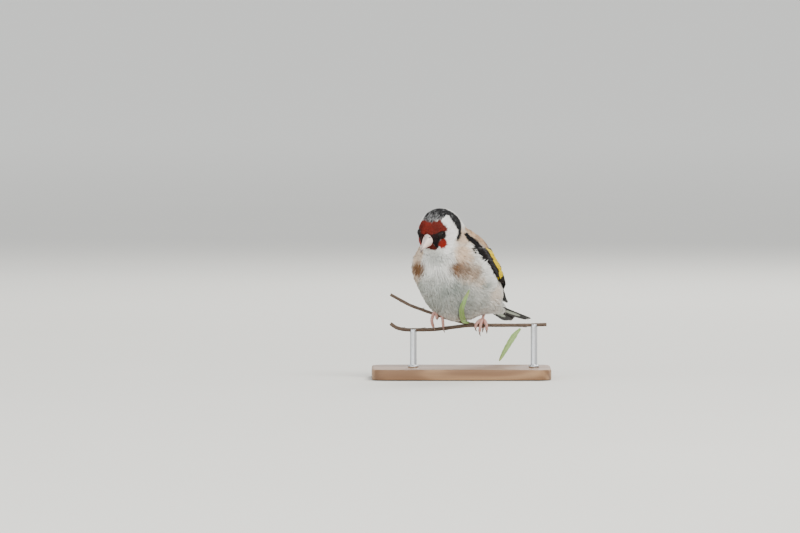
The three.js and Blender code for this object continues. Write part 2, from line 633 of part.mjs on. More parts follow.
function footSolid(leg, grow) {
  const radiusAt = (t) => grow + TOE.radius + (TOE.tip - TOE.radius) * t;
  const toes = leg.toes.map((toe) => taperedTube(toe.map(fromPerch), 8, 7, round(radiusAt)));
  const knuckle = fromPerch(leg.joint);
  const ball = new THREE.IcosahedronGeometry(1.1 + grow, 1).translate(knuckle.x, knuckle.y, knuckle.z);
  return union([...toes, solidFrom(ball)]);
}

function clawSolids(leg, grow) {
  const radiusAt = (t) => grow + CLAW.radius + (CLAW.tip - CLAW.radius) * t ** 1.2;
  return leg.claws.map((claw) => taperedTube(claw.map(fromPerch), 6, 6, round(radiusAt)));
}

function legSolids(leg, stemGap) {
  const upLeg = fromPerch(leg.ankle).sub(fromPerch(leg.joint)).normalize();
  const shankEnd = fromPerch(leg.joint).addScaledVector(upLeg, 0.9);
  const footTop = shankEnd.clone().addScaledVector(upLeg, -GAP);
  const foot = footSolid(leg, 0).subtract(stemGap).subtract(beyond(footTop, upLeg));
  return {
    tarsus: largest(shankSolid(leg, 0).intersect(beyond(shankEnd, upLeg))),
    foot: largest(foot.subtract(union(clawSolids(leg, GAP)))),
    claws: clawSolids(leg, 0).map((claw) => largest(claw.subtract(stemGap))),
  };
}

// A narrow leaf that follows its midrib, curled a little across.
function leafSolid(leaf) {
  const rib = new THREE.CatmullRomCurve3(leaf.rib.map(fromPerch), false, "centripetal");
  return vane((along, across, face) => {
    const tangent = rib.getTangentAt(along);
    const side = tangent.clone().cross(vec(...leaf.facing)).normalize();
    const over = side.clone().cross(tangent).normalize();
    const half = (leaf.width / 2) * Math.min(1, 0.35 + 2.6 * along) * Math.sqrt(Math.max(0.03, 1 - along ** 3));
    const lift = LEAF.curl * across ** 2 + (face ? LEAF.thick / 2 : -LEAF.thick / 2);
    return rib.getPointAt(along).addScaledVector(side, across * half).addScaledVector(over, lift);
  }, 9, 4);
}

function rodSolid(x, stemGap) {
  const path = new THREE.CatmullRomCurve3(stemPath(STEM_LINE), false, "centripetal");
  const samples = path.getSpacedPoints(400);
  const target = samples.reduce((best, p) =>
    Math.abs(p.x - PERCH.x - x) < Math.abs(best.x - PERCH.x - x) ? p : best);
  const foot = BASE.thick + GAP;
  const top = target.z + 0.35;
  const rod = new THREE.CylinderGeometry(ROD.radius, ROD.radius, top - foot, 20);
  rod.rotateX(Math.PI / 2).translate(target.x, target.y, (top + foot) / 2);
  return largest(solidFrom(rod).subtract(stemGap));
}

function baseSolid() {
  const [w, d, r] = [BASE.width / 2 - BASE.bevel, BASE.depth / 2 - BASE.bevel, BASE.corner];
  const outline = new THREE.Shape();
  outline.absarc(w - r, d - r, r, 0, Math.PI / 2, false);
  outline.absarc(r - w, d - r, r, Math.PI / 2, Math.PI, false);
  outline.absarc(r - w, r - d, r, Math.PI, 1.5 * Math.PI, false);
  outline.absarc(w - r, r - d, r, 1.5 * Math.PI, 2 * Math.PI, false);
  const slab = new THREE.ExtrudeGeometry(outline, {
    depth: BASE.thick - 2 * BASE.bevel, bevelThickness: BASE.bevel, bevelSize: BASE.bevel,
    bevelSegments: 1, curveSegments: 6, steps: 1,
  });
  return solidFrom(slab.translate(0, 0, BASE.bevel));
}

function material(colour, roughness, metalness = 0) {
  return new THREE.MeshStandardMaterial({ color: colour, roughness, metalness });
}

const MATERIALS = {
  white: material(COLOURS.white, 0.9),
  buff: material(COLOURS.buff, 0.9),
  black: material(COLOURS.black, 0.6),
  red: material(COLOURS.red, 0.9),
  bill: material(COLOURS.bill, 0.45),
  eye: material(COLOURS.eye, 0.08),
  leg: material(COLOURS.leg, 0.55),
  claw: material(COLOURS.claw, 0.4),
  stem: material(COLOURS.stem, 0.85),
  leaf: material(COLOURS.leaf, 0.6),
  stand: material(COLOURS.stand, 0.6),
  rod: material(COLOURS.rod, 0.3, 1),
};

const goldfinch = new THREE.Group();

function add(name, solid, finish) {
  const mesh = new THREE.Mesh(geometryFrom(solid), MATERIALS[finish]);
  mesh.name = name;
  goldfinch.add(mesh);
}

const stemGap = stemSolid(STEM_LINE, STEM_RADIUS, GAP);
const perchGap = union([stemGap, stemSolid(TWIG_LINE, TWIG_RADIUS, GAP)]);
const legGaps = LEGS.flatMap((leg) => [shankSolid(leg, GAP), footSolid(leg, GAP), ...clawSolids(leg, GAP)]);
const trunkHollows = union([perchGap, ...legGaps]);
const trunkGap = trunkSkin(GAP, GRID.trunkGap);
const { neck, torso, rump } = trunkSolids(trunkHollows);
const bill = billSolids(headSkin(GAP, GRID.headGap));
add("head", headSolid(), "red");
add("bill_upper", bill.upper, "bill");
add("bill_lower", bill.lower, "bill");
for (const { name, sign } of SIDES) add("eye_" + name, eyeBall(sign, EYE.radius), "eye");
add("neck", neck, "white");
add("torso", torso, "white");
add("rump", rump, "white");
add("tail", tailSolid(trunkGap), "black");
for (const { name, sign } of SIDES) add("wing_" + name, wingSolid(sign, trunkGap), "black");
for (const leg of LEGS) {
  const { tarsus, foot, claws } = legSolids(leg, perchGap);
  add("tarsus_" + leg.name, tarsus, "leg");
  add("foot_" + leg.name, foot, "leg");
  claws.forEach((claw, i) => add("claw_" + leg.name + "_" + (i + 1), claw, "claw"));
}
add("perch_stem", largest(stemSolid(STEM_LINE, STEM_RADIUS)), "stem");
add("perch_twig", largest(stemSolid(TWIG_LINE, TWIG_RADIUS).subtract(stemGap)), "stem");
LEAVES.forEach((leaf, i) => add("perch_leaf_" + (i + 1), leafSolid(leaf), "leaf"));
add("stand_base", baseSolid(), "stand");
ROD.xs.forEach((x, i) => add("stand_rod_" + (i + 1), rodSolid(x, stemGap), "rod"));

export default goldfinch;
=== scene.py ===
"""A European goldfinch, life size, gripping a forked dry stem over a plain wooden stand.

Lengths in this file are millimetres in the part's own frame, +Z up, and become metres when a mesh is made.
"""
import math

import bpy
import numpy as np
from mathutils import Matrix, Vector
from mathutils.kdtree import KDTree


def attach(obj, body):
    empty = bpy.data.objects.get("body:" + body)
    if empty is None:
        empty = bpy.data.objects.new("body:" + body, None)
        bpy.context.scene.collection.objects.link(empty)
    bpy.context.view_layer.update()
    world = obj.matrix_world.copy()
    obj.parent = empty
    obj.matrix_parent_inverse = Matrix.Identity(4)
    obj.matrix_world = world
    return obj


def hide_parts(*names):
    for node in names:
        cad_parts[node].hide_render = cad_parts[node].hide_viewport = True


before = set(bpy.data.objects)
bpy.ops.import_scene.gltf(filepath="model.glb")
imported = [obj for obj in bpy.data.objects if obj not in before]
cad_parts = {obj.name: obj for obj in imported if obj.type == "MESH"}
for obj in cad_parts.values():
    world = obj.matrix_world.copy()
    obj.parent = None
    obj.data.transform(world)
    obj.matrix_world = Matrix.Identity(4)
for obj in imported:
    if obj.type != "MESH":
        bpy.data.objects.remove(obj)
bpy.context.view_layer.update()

MM = 0.001
PERCH = np.array([-3.0, -3.0, 24.0])  # the stem under the bird
BLEND = 1.5  # how softly the lumps of the plumage run together
GAP = 0.32  # between the trunk and the feathers of a folded wing
SIDES = (("left", 1), ("right", -1))
ALL_ROUND = 6.28  # radians, for random phases
SEEDS = {"wing": 11, "tail": 5}
NO_MARK = -5.0  # the distance into a mark that a feather doesn't have

# Camera: the photograph's frame is 800 by 533 and shows 0.48 mm a pixel at the bird
LENS = 400
SENSOR = 36
VIEW_CENTRE = np.array([-29.4, -3.0, 53.5])
VIEW_DISTANCE = 4267
VIEW_ELEVATION = 2

# Bird
BODY_YAW = 28
HIND_BEND = 0.165  # sideways drift of rump, wing tips and tail for each mm behind HIND_START
HIND_START = -20
EYE = {"at": (6.8, 5.3, 1.5), "radius": 2.1, "forward": 0.35}
BILL = {"base": (7.0, 0.0, 0.4), "length": 11.8, "wide": 3.4, "high": 3.9}
WING = {"wrist": (6, 16.2, 9.4), "tip": (-56, 1.3, -12.8), "lean": (-0.35, 0.82, 0.45),
        "bed_at": 46, "bed_size": (34, 17, 2.5), "thin_front": 0.5, "thin_reach": 13}
TAIL = {"root": (-29, 0, -12.4), "yaw": 23, "pitch": 12.3, "roll": -6, "length": 49, "fork": 6,
        "root_half": 3.4, "tip_half": 7.6, "pairs": 6, "first_oval": 4, "vane": 5.6, "step": 0.22}

# Stand and stems
BASE = {"width": 86, "depth": 56, "thick": 5, "corner": 8, "bevel": 0.8}
ROD = {"radius": 1.6, "xs": (-20, 38), "over_middle": 0.35}  # ends inside the stem
STEM = {"radius": 0.85, "line": [
    (-31, -0.4, 2.1), (-28, -0.2, 0.1), (-23.9, 0, -0.8), (-16.5, 0, -0.9), (-10, 0, -0.7),
    (-1.8, 0, 0.2), (6, 0, 1.1), (17.8, 0, 1.3), (32.5, 0.3, 1.3), (44, 0.6, 1.6)]}
TWIG = {"radius": 0.72, "line": [
    (-31, -4.2, 16.2), (-26.3, -3.8, 13.6), (-21.4, -3.3, 11), (-16.5, -2.8, 9.1), (-11.6, -2.2, 7.3),
    (-6.7, -1.6, 5.7), (-1.8, -1.1, 4.3), (2.1, -0.8, 3.1), (6, -0.5, 2.2), (9, -0.3, 1.9)]}
LEAVES = [
    {"rib": [(6.4, -1.6, 2.4), (4.2, -6.5, 3.6), (3.1, -13, 8.2), (3.8, -17.8, 12), (6.8, -21, 19.2)],
     "width": 2.6, "facing": (0, -1, 0.3)},
    {"rib": [(31.4, -0.6, -0.3), (28.6, -1.2, -3.4), (25, -1.4, -9), (21.2, -1.2, -15.8)],
     "width": 2.7, "facing": (0.3, -0.9, 0.3)},
]
LEGS = [
    {"name": "left", "ankle": (15.4, 7.4, 13.4), "joint": (13.3, 0.2, 4),
     "toes": [[(13.3, 0, 4), (11.6, -1.1, 3.4), (10.2, -2, 1.9), (9.8, -1.7, 0.1)],
              [(13.3, -0.1, 4), (12.7, -1.6, 3.2), (12.2, -2.4, 1.1), (11.8, -2, -1.7)],
              [(13.3, 0, 4), (14.4, -1.5, 3.2), (15.1, -2.3, 1.2), (15.2, -1.9, -0.9)],
              [(13.3, 0.4, 4), (13.5, 1.6, 3.4), (13.7, 2.4, 1.6), (13.5, 2, -0.3)]],
     "claws": [[(9.8, -1.55, -0.25), (10, -1.1, -1), (10.6, -0.2, -1.6)],
               [(11.8, -1.85, -2.05), (11.9, -1.4, -3), (12.3, -0.3, -3.9)],
               [(15.2, -1.75, -1.25), (15.3, -1.3, -2), (15.1, -0.4, -2.7)],
               [(13.45, 1.85, -0.65), (13.3, 1.3, -1.5), (13.1, 0.4, -2.2)]]},
    {"name": "right", "ankle": (-6.2, 5.5, 16.6), "joint": (-8.3, -1.2, 8.6),
     "toes": [[(-8.3, -1.3, 8.6), (-9.7, -2.7, 7.7), (-11, -3.3, 5), (-11, -2.9, 2.4), (-10.4, -2.2, 0.7)],
              [(-8.3, -1.4, 8.6), (-8.7, -2.9, 7.9), (-8.9, -3.5, 6.3), (-8.7, -3.1, 4.8)],
              [(-8.3, -1.3, 8.6), (-7.1, -2.7, 7.6), (-6.1, -3.2, 5), (-5.8, -2.8, 2.4), (-5.6, -2.2, 0.6)],
              [(-8.3, -0.9, 8.6), (-8.2, 0.3, 8), (-8.2, 0.7, 6.5), (-8.2, 0.2, 5)]],
     "claws": [[(-10.25, -2.1, 0.4), (-10, -1.9, -0.2), (-9.6, -1.7, -1)],
               [(-8.65, -2.95, 4.45), (-8.6, -2.5, 4.1), (-8.5, -1.8, 3.9)],
               [(-5.55, -2.05, 0.25), (-5.4, -1.7, -1), (-4.9, -0.6, -2.2)],
               [(-8.2, 0, 4.7), (-8.2, -0.4, 4.5), (-8.2, -0.9, 4.45)]]},
]
TOE = {"radius": 0.8, "tip": 0.64, "scales": 9}
CLAW = {"radius": 0.42, "tip": 0.12}
SHANK = {"radius": 0.68, "ankle": 1.1, "scutes": 8}


# Frames and the form of the plumage

def unit(v):
    return v / np.linalg.norm(v, axis=-1, keepdims=True)


def smooth(low, high, x):
    t = np.clip((x - low) / (high - low), 0, 1)
    return t * t * (3 - 2 * t)


def mix(a, b, t):
    return a + (b - a) * t


class Frame:
    """An origin with forward, left and up axes, and a sideways bend behind HIND_START."""

    def __init__(self, origin, yaw, pitch, roll, bend=0.0):
        yaw, pitch, roll = map(math.radians, (yaw, pitch, roll))
        self.origin = np.array(origin, float)
        self.bend = bend
        ahead = np.array([-math.sin(yaw), -math.cos(yaw), 0.0])
        flat_left = np.array([math.cos(yaw), -math.sin(yaw), 0.0])
        self.forward = ahead * math.cos(pitch) + np.array([0, 0, math.sin(pitch)])
        flat_up = np.cross(self.forward, flat_left)
        self.left = flat_left * math.cos(roll) - flat_up * math.sin(roll)
        self.up = np.cross(self.forward, self.left)

    def at(self, place):
        place = np.asarray(place, float)
        f, l, u = place[..., :1], place[..., 1:2], place[..., 2:]
        l = l + self.bend * np.minimum(f - HIND_START, 0)
        return self.origin + f * self.forward + l * self.left + u * self.up

    def into(self, points):
        away = np.asarray(points, float) - self.origin
        f = away @ self.forward
        l = away @ self.left - self.bend * np.minimum(f - HIND_START, 0)
        return np.stack([f, l, away @ self.up], -1)


BODY = Frame(PERCH + (0.8, 0, 24.5), BODY_YAW, 0, 0, HIND_BEND)
HEAD = Frame(PERCH + (-8, -11, 48), 33, -31, 6)
RUDDER = Frame(BODY.at(TAIL["root"]), TAIL["yaw"], TAIL["pitch"], TAIL["roll"])


def lump(place, centre, size, nose=0):
    """An ellipsoid of plumage in a frame, its nose tipped up by some degrees."""
    tip = math.radians(nose)
    along = place.forward * math.cos(tip) + place.up * math.sin(tip)
    rise = place.up * math.cos(tip) - place.forward * math.sin(tip)
    return place.at(centre), np.array([along, place.left, rise]), np.array(size, float)


def pair(place, centre, size, nose=0):
    f, l, u = centre
    return [lump(place, (f, l, u), size, nose), lump(place, (f, -l, u), size, nose)]


CORE = [
    lump(BODY, (-0.5, 0, -1), (21.5, 17.3, 19.4), 35),  # belly
    lump(BODY, (7, 0, 6), (13.5, 15.5, 15.5)),  # breast
    lump(BODY, (-3, 0, 8.5), (18, 13, 12.5), 38),  # back
    lump(BODY, (-20, 0, -4.5), (14, 8.5, 7.5), 24),  # rump
    lump(BODY, (-20, 0, -11.5), (14, 7, 6), 14),  # vent
    lump(RUDDER, (-9, 0, 0.3), (17, 4.8, 3.5)),  # coverts round the root of the tail
]
PADS = [
    *pair(BODY, (-8, 10.6, -6.3), (14, 7.1, 10.3), 24),  # flanks
    *pair(BODY, (0.5, 12, 1.5), (10, 6.9, 8.5)),  # sides, over the lower edge of the wing
    *pair(BODY, (8, 10.3, 5.5), (9, 7.2, 10)),  # sides of the breast, over the bend of the wing
    *pair(BODY, (-3, 8, 10.5), (12, 6.5, 8), 35),  # shoulder feathers
    lump(BODY, (1, 0, 17), (12, 9.5, 6.5), 40),  # mantle
]
HEAD_LUMPS = [
    lump(HEAD, (0, 0, 0.4), (10.4, 8.9, 8.6)),  # skull
    *pair(HEAD, (1.5, 4.2, -3), (6.6, 4.6, 5.4)),  # cheeks
    lump(HEAD, (-4.5, 0, -2.5), (8, 8.4, 8)),  # nape
    lump(HEAD, (6.6, 0, -0.6), (4.6, 3.9, 4.4)),  # forehead and lores
    lump(HEAD, (5, 0, -4.2), (4.6, 3.6, 3.4)),  # chin
    lump(BODY, (9, -1, 14), (11, 10.5, 10), 30),  # neck
]
PLUMAGE = CORE + PADS + HEAD_LUMPS


def outside(points, lumps=PLUMAGE):
    """About how far points are outside a set of lumps, less than 0 inside."""
    total = 0
    for centre, axes, size in lumps:
        q = (points - centre) @ axes.T
        near = np.sqrt(((q / size) ** 2).sum(-1))
        steep = np.sqrt(((q / size**2) ** 2).sum(-1))
        far = np.where(steep > 1e-9, near * (near - 1) / np.maximum(steep, 1e-9), -size.min())
        total = total + np.exp(-far / BLEND)
    return -BLEND * np.log(total)


def slope(field, points, reach=0.05):
    steps = np.eye(3) * reach
    return np.stack([(field(points + s) - field(points - s)) / (2 * reach) for s in steps], -1)


# Depth of the skin under the plumage's surface, how far from the head's middle it changes, and its cells
SKIN = {"head": 0.75, "body": 1.5, "from": 11, "to": 19, "step": 0.95}
TRUNK_BOX = [(-26, -34, 1), (33, 46, 63)]  # from PERCH, round the head and trunk


def above_skin(points):
    away = np.linalg.norm(points - HEAD.origin, axis=-1)
    depth = SKIN["head"] + (SKIN["body"] - SKIN["head"]) * smooth(SKIN["from"], SKIN["to"], away)
    return outside(points) + depth


def net_surface(field, low, high, step):
    """Vertices and quads of the surface where the field is 0, one vertex in each grid cell that it crosses."""
    lines = [np.arange(a, b + step, step) for a, b in zip(low, high)]
    grid = np.stack(np.meshgrid(*lines, indexing="ij"), -1)
    value = field(grid.reshape(-1, 3)).reshape(grid.shape[:3])
    cells = tuple(n - 1 for n in value.shape)
    total, count = np.zeros(cells + (3,)), np.zeros(cells)
    crossings = []
    for axis in range(3):
        u, v = (axis + 1) % 3, (axis + 2) % 3
        first, second = [slice(None)] * 3, [slice(None)] * 3
        first[axis], second[axis] = slice(0, -1), slice(1, None)
        a, b = value[tuple(first)], value[tuple(second)]
        crossed = (a < 0) != (b < 0)
        point = grid[tuple(first)].copy()
        point[..., axis] += step * np.where(crossed, a / np.where(crossed, a - b, 1), 0)
        for du in (0, 1):
            for dv in (0, 1):
                part = [slice(None)] * 3
                part[u] = slice(du, du + cells[u])
                part[v] = slice(dv, dv + cells[v])
                part = tuple(part)
                total += point[part] * crossed[part][..., None]
                count += crossed[part]
        crossings.append((axis, u, v, crossed, a < 0))
    index = np.full(cells, -1)
    index[count > 0] = np.arange((count > 0).sum())
    vertices = total[count > 0] / count[count > 0][:, None]
    quads = []
    for axis, u, v, crossed, outward in crossings:
        spots = np.argwhere(crossed)
        around = spots[:, (u, v)]
        spots = spots[((around > 0) & (around < (cells[u], cells[v]))).all(1)]
        corners = []
        for du, dv in ((1, 1), (0, 1), (0, 0), (1, 0)):
            cell = spots.copy()
            cell[:, u] -= du
            cell[:, v] -= dv
            corners.append(index[tuple(cell.T)])
        quad = np.stack(corners, -1)
        back = ~outward[tuple(spots.T)]
        quad[back] = quad[back][:, ::-1]
        quads.append(quad)
    for _ in range(3):
        tilt = slope(field, vertices)
        vertices = vertices - tilt * (field(vertices) / (tilt**2).sum(-1))[:, None]
    return vertices, np.vstack(quads)


# Markings. Those of the head are drawn on a map of one side of it: degrees from the middle of the cheek,
# forwards and upwards, so that its rim at 90 is the middle line of crown, nape, chin and forehead.
HEAD_MAP = {
    "cheek": [(-16, 52), (-10, 37), (-6, 21), (-5.6, 6), (-6.5, -5), (2, -10.5), (10, -14), (18.5, -18.2),
              (25, -20), (34, -27), (42, -36), (49, -34), (46.5, -26), (43, -19), (40.3, -11.7), (41.4, -1.5),
              (35.6, 10), (28.3, 18.4), (25, 26.7), (28, 39.5), (26.4, 53.6), (9, 55)],
    "brow": [(70, 78), (54, 61), (40, 61), (26.4, 53.6), (28, 39.5), (23, 26.7), (26, 15), (37, 16),
             (48, 17), (56, 16), (64, 16), (75, 17), (84, 22), (98, 25)],
    "patch": [(52, 1), (42.4, -3), (40.5, -13.4), (44, -21), (50, -26), (55, -27), (60, -25), (61.4, -16.6),
              (58, -8)],
    "chin": [(62, -33), (68.8, -22), (74, -15), (80, -10), (98, -12), (98, -50), (82, -38), (72, -35)],
    "lores": [(98, 28), (84, 27), (75, 22.5), (63, 22), (56, 21), (48, 22), (37, 20), (33, 14), (37, -1),
              (45, -5), (53, -4), (57, -10), (59, -18), (60, -28), (66, -34), (72, -26), (74, -15), (80, -10),
              (98, -12)],
    "crown": [(70, 78), (54, 61), (40, 61), (26.4, 53.6), (9, 55), (-16, 52), (-10, 37), (-6, 21), (-5.6, 6),
              (-6.5, -5), (2, -10.5), (10, -14), (18, -18.5), (16, -22), (2, -19.5), (-9.5, -16), (-25, -10),
              (-37, -3), (-50, 5), (-51, 22), (-51, 30), (-56, 48), (-75, 66), (-50, 98), (20, 110)],
}
# Markings of the body, drawn on its side view: forwards and upwards.
BODY_MAP = {
    "shoulder": [(9.2, 21.2), (8.2, 15.7), (9.3, 10.9), (6.5, 6), (2.1, 4.9), (-4.6, 0.7), (-14, -3), (-20, 0),
                 (-10, 8), (-2, 10.6), (0.4, 13.6), (3.4, 17.5), (5.6, 21.5)],
    "mantle": [(-10, 31), (1, 26), (7.6, 23), (5.6, 21), (3.6, 17.5), (0.4, 13.6), (-2, 10.6), (-10, 8),
               (-15, 3), (-19, 12), (-16, 30)],
}
HEAD_DEGREE = 0.19  # mm on the head's surface
HEAD_REACH = 15.5  # how far from the head's middle its markings go
RIGHT_LOWER = 8  # degrees by which the markings sit lower on the right side, which is turned away


def inside_outline(points, outline):
    """Distance from an outline, more than 0 inside it."""
    corners = np.array(outline, float)
    nearest = np.full(len(points), np.inf)
    crossings = np.zeros(len(points), int)
    for a, b in zip(corners, np.roll(corners, -1, 0)):
        run = b - a
        t = np.clip(((points - a) @ run) / (run @ run), 0, 1)
        nearest = np.minimum(nearest, np.linalg.norm(points - a - t[:, None] * run, axis=1))
        spans = (a[1] > points[:, 1]) != (b[1] > points[:, 1])
        if run[1]:
            reach = a[0] + (points[:, 1] - a[1]) / run[1] * run[0]
            crossings += spans & (points[:, 0] < reach)
    return np.where(crossings % 2, nearest, -nearest)


def blob(q, centre, size, edge=0.35):
    """1 inside an ellipsoid on each side of the body, 0 outside, soft at the edge."""
    away = np.linalg.norm((np.stack([q[:, 0], np.abs(q[:, 1]), q[:, 2]], -1) - centre) / size, axis=1)
    return 1 - smooth(1 - edge, 1 + edge, away)


def markings(points):
    """Distances into the sharp markings, in mm, shares of the soft ones, and the share of painted shade, at
    points of the plumage.
    """
    ahead = unit(HEAD.into(points) - (0, 0, 0.4))
    tilt = np.degrees(np.arccos(np.clip(np.abs(ahead[:, 1]), 0, 1)))
    turn = np.arctan2(ahead[:, 2], ahead[:, 0])
    place = np.stack([tilt * np.cos(turn), tilt * np.sin(turn)], -1)
    place[:, 1] += RIGHT_LOWER * (1 - smooth(55, 88, tilt)) * (ahead[:, 1] < 0)
    away = np.linalg.norm(points - HEAD.origin, axis=1)
    made = {}
    for name, outline in HEAD_MAP.items():
        made[name] = np.minimum(inside_outline(place, outline) * HEAD_DEGREE, HEAD_REACH - away)
    q = BODY.into(points)
    side = q[:, (0, 2)]
    aside = np.abs(q[:, 1])
    made["shoulder"] = np.minimum(inside_outline(side, BODY_MAP["shoulder"]), aside - 8)
    made["mantle"] = smooth(-1.2, 1.2, inside_outline(side, BODY_MAP["mantle"]))
    made["tawny"] = np.maximum(blob(q, (17.4, 10.6, 4.6), (4.6, 4.6, 3.0), 0.45),
                               0.6 * blob(q, (13.2, 15.2, 3.6), (4, 3.6, 2.6), 0.5))
    made["cream"] = np.maximum.reduce([
        blob(q, (14.8, 11.4, 11), (4.6, 3.8, 6.4)), blob(q, (11, 8.6, 19), (5, 4.6, 5)),
        0.8 * blob(q, (14.5, 14, 3), (6, 5, 4.5), 0.5), 0.55 * blob(q, (9, 16.5, -1.5), (4, 3, 2.6), 0.5),
        0.6 * blob(q, (-8, 17.5, -8), (6, 4, 4), 0.6)])
    # Painted shade: grey where the body is in shade, on its underside, low on the flanks, on the upper breast
    # under the head and along the lower edge of the wing.
    made["painted_shade"] = np.maximum.reduce([
        0.8 * blob(q, (17, 0, -8), (8, 8, 9), 0.6), 0.9 * blob(q, (15.5, 9, -4), (4, 5, 4), 0.6),
        0.8 * blob(q, (10, 8, -12), (9, 8, 7), 0.7), 0.5 * blob(q, (20.5, 0, 9), (4, 6, 3), 0.6),
        0.8 * blob(q, (4, 17.5, -3.5), (4, 3, 2), 0.5), 0.5 * blob(q, (3, 14, -11), (6, 6, 5), 0.6)])
    made["fleck"] = 1 - smooth(8, 60, np.linalg.norm(place - (42, 72), axis=1))
    return made


# Meshes

def new_object(name, data):
    made = bpy.data.objects.new(name, data)
    bpy.context.scene.collection.objects.link(made)
    return made


def mesh_object(name, vertices, faces, material=None, **attributes):
    """A smooth mesh from places in mm. Each attribute is a list of values for its vertices."""
    mesh = bpy.data.meshes.new(name)
    mesh.from_pydata((np.asarray(vertices) * MM).tolist(), [], [list(map(int, f)) for f in faces])
    mesh.polygons.foreach_set("use_smooth", np.ones(len(mesh.polygons), bool))
    mesh.validate()
    for key, values in attributes.items():
        set_attribute(mesh, key, values)
    if material:
        mesh.materials.append(material)
    return new_object(name, mesh)


def set_attribute(mesh, name, values):
    values = np.asarray(values, np.float32)
    kind, field = ("FLOAT", "value") if values.ndim == 1 else ("FLOAT_VECTOR", "vector")
    mesh.attributes.new(name, kind, "POINT").data.foreach_set(field, values.ravel())


def finish_piece(made, slot, *nodes):
    """Fixes a finished piece to the model and hides the nodes that it stands for. Its slot, the finish, is not
    used.
    """
    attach(made, "root")
    if nodes:
        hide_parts(*nodes)
    return made


def turned_out(vertices, faces):
    """The faces, all reversed if they enclose less than nothing."""
    fans = np.array([(f[0], f[i], f[i + 1]) for f in faces for i in range(1, len(f) - 1)])
    a, b, c = (vertices[fans[:, i]] for i in range(3))
    return faces if (a * np.cross(b, c)).sum() > 0 else [f[::-1] for f in faces]


def add_piece(name, vertices, faces, material, slot, *nodes, **attributes):
    """A closed piece of the model with its faces outward."""
    made = mesh_object(name, vertices, turned_out(vertices, faces), material, **attributes)
    return finish_piece(made, slot, *nodes)


def full_turn(count):
    return np.arange(count) / count * 2 * math.pi


def from_perch(line):
    return PERCH + np.array(line, float)


def curve(points, count):
    """Evenly spaced points on a centripetal spline through the given ones."""
    points = np.asarray(points, float)
    points = np.vstack([2 * points[0] - points[1], points, 2 * points[-1] - points[-2]])
    fine = []
    for i in range(1, len(points) - 2):
        p0, p1, p2, p3 = points[i - 1:i + 3]
        d0, d1, d2 = (max(np.linalg.norm(b - a) ** 0.5, 1e-4) for a, b in ((p0, p1), (p1, p2), (p2, p3)))
        t1 = ((p1 - p0) / d0 - (p2 - p0) / (d0 + d1) + (p2 - p1) / d1) * d1
        t2 = ((p2 - p1) / d1 - (p3 - p1) / (d1 + d2) + (p3 - p2) / d2) * d1
        t = np.linspace(0, 1, 24, endpoint=False)[:, None]
        fine.append(p1 + t1 * t + (3 * (p2 - p1) - 2 * t1 - t2) * t**2 + (2 * (p1 - p2) + t1 + t2) * t**3)
    fine = np.vstack(fine + [points[-2:-1]])
    run = np.concatenate([[0], np.cumsum(np.linalg.norm(np.diff(fine, axis=0), axis=1))])
    spots = np.linspace(0, run[-1], count)
    return np.stack([np.interp(spots, run, fine[:, i]) for i in range(3)], -1)


def loft_faces(rings, sides):
    """Quads between closed rings of equal size, and fans to one point at each end, after the rings."""
    faces = []
    for i in range(rings - 1):
        for j in range(sides):
            a, b = i * sides + j, i * sides + (j + 1) % sides
            faces.append((a, b, b + sides, a + sides))
    last = (rings - 1) * sides
    for j in range(sides):
        k = (j + 1) % sides
        faces.append((rings * sides, k, j))
        faces.append((rings * sides + 1, last + j, last + k))
    return faces


def tube(points, radius_at, sides=20, rings=40, up=(0.13, 0.31, 0.94)):
    """Vertices and faces of a tube along a spline. radius_at(t, angle) is its radius, with t from 0 to 1."""
    centre = curve(points, rings)
    tangent = unit(np.gradient(centre, axis=0))
    over = np.array(up, float)
    angle = full_turn(sides)
    vertices = []
    for i in range(rings):
        over = unit(over - tangent[i] * (over @ tangent[i]))
        across = np.cross(over, tangent[i])
        radius = np.broadcast_to(radius_at(i / (rings - 1), angle), angle.shape)
        ring = np.outer(np.cos(angle) * radius, across) + np.outer(np.sin(angle) * radius, over)
        vertices.append(centre[i] + ring)
    vertices.append(centre[[0, -1]])
    return np.vstack(vertices), loft_faces(rings, sides)


def along_tube(sides, rings):
    """How far along its tube each vertex is, from 0 to 1."""
    return np.append(np.repeat(np.linspace(0, 1, rings), sides), (0, 1))


def ball_ways(rings, sides, gap, pole, level, over):
    """Unit vectors to the vertices of a ball, whose end rings are the gap, in radians, from its poles."""
    tilt, turn = np.linspace(gap, math.pi - gap, rings)[:, None, None], full_turn(sides)[None, :, None]
    ways = np.cos(tilt) * pole + np.sin(tilt) * (np.cos(turn) * level + np.sin(turn) * over)
    return np.vstack([ways.reshape(-1, 3), pole, -np.asarray(pole)])


def join(parts):
    """One list of vertices and faces from several closed parts, with their faces outward."""
    vertices, faces, start = [], [], 0
    for these, those in parts:
        vertices.append(these)
        faces += [tuple(i + start for i in face) for face in turned_out(these, those)]
        start += len(these)
    return np.vstack(vertices), faces


def together(rows):
    """One array for each key, from a list of dictionaries of arrays."""
    return {key: np.concatenate([row[key] for row in rows]) for key in rows[0]}


# Materials and node trees

class Wire:
    """A value in a node tree, so that sums of values are written as sums."""

    def __init__(self, socket):
        self.socket = socket

    def work(self, operation, *values):
        net = Net(self.socket.id_data)
        return net.add("ShaderNodeMath", {"operation": operation}, dict(enumerate(values or [self])))

    def __add__(self, other):
        return self.work("ADD", self, other)

    def __sub__(self, other):
        return self.work("SUBTRACT", self, other)

    def __rsub__(self, other):
        return self.work("SUBTRACT", other, self)

    def __mul__(self, other):
        return self.work("MULTIPLY", self, other)

    __radd__ = __add__
    __rmul__ = __mul__

    def clamp(self):
        return self.work("MINIMUM", self.work("MAXIMUM", self, 0.0), 1.0)

    def rise(self, low, high):
        """0 below low, 1 above high, smooth between them."""
        net = Net(self.socket.id_data)
        return net.add("ShaderNodeMapRange", {"interpolation_type": "SMOOTHSTEP"},
                       {"Value": self, "From Min": low, "From Max": high})


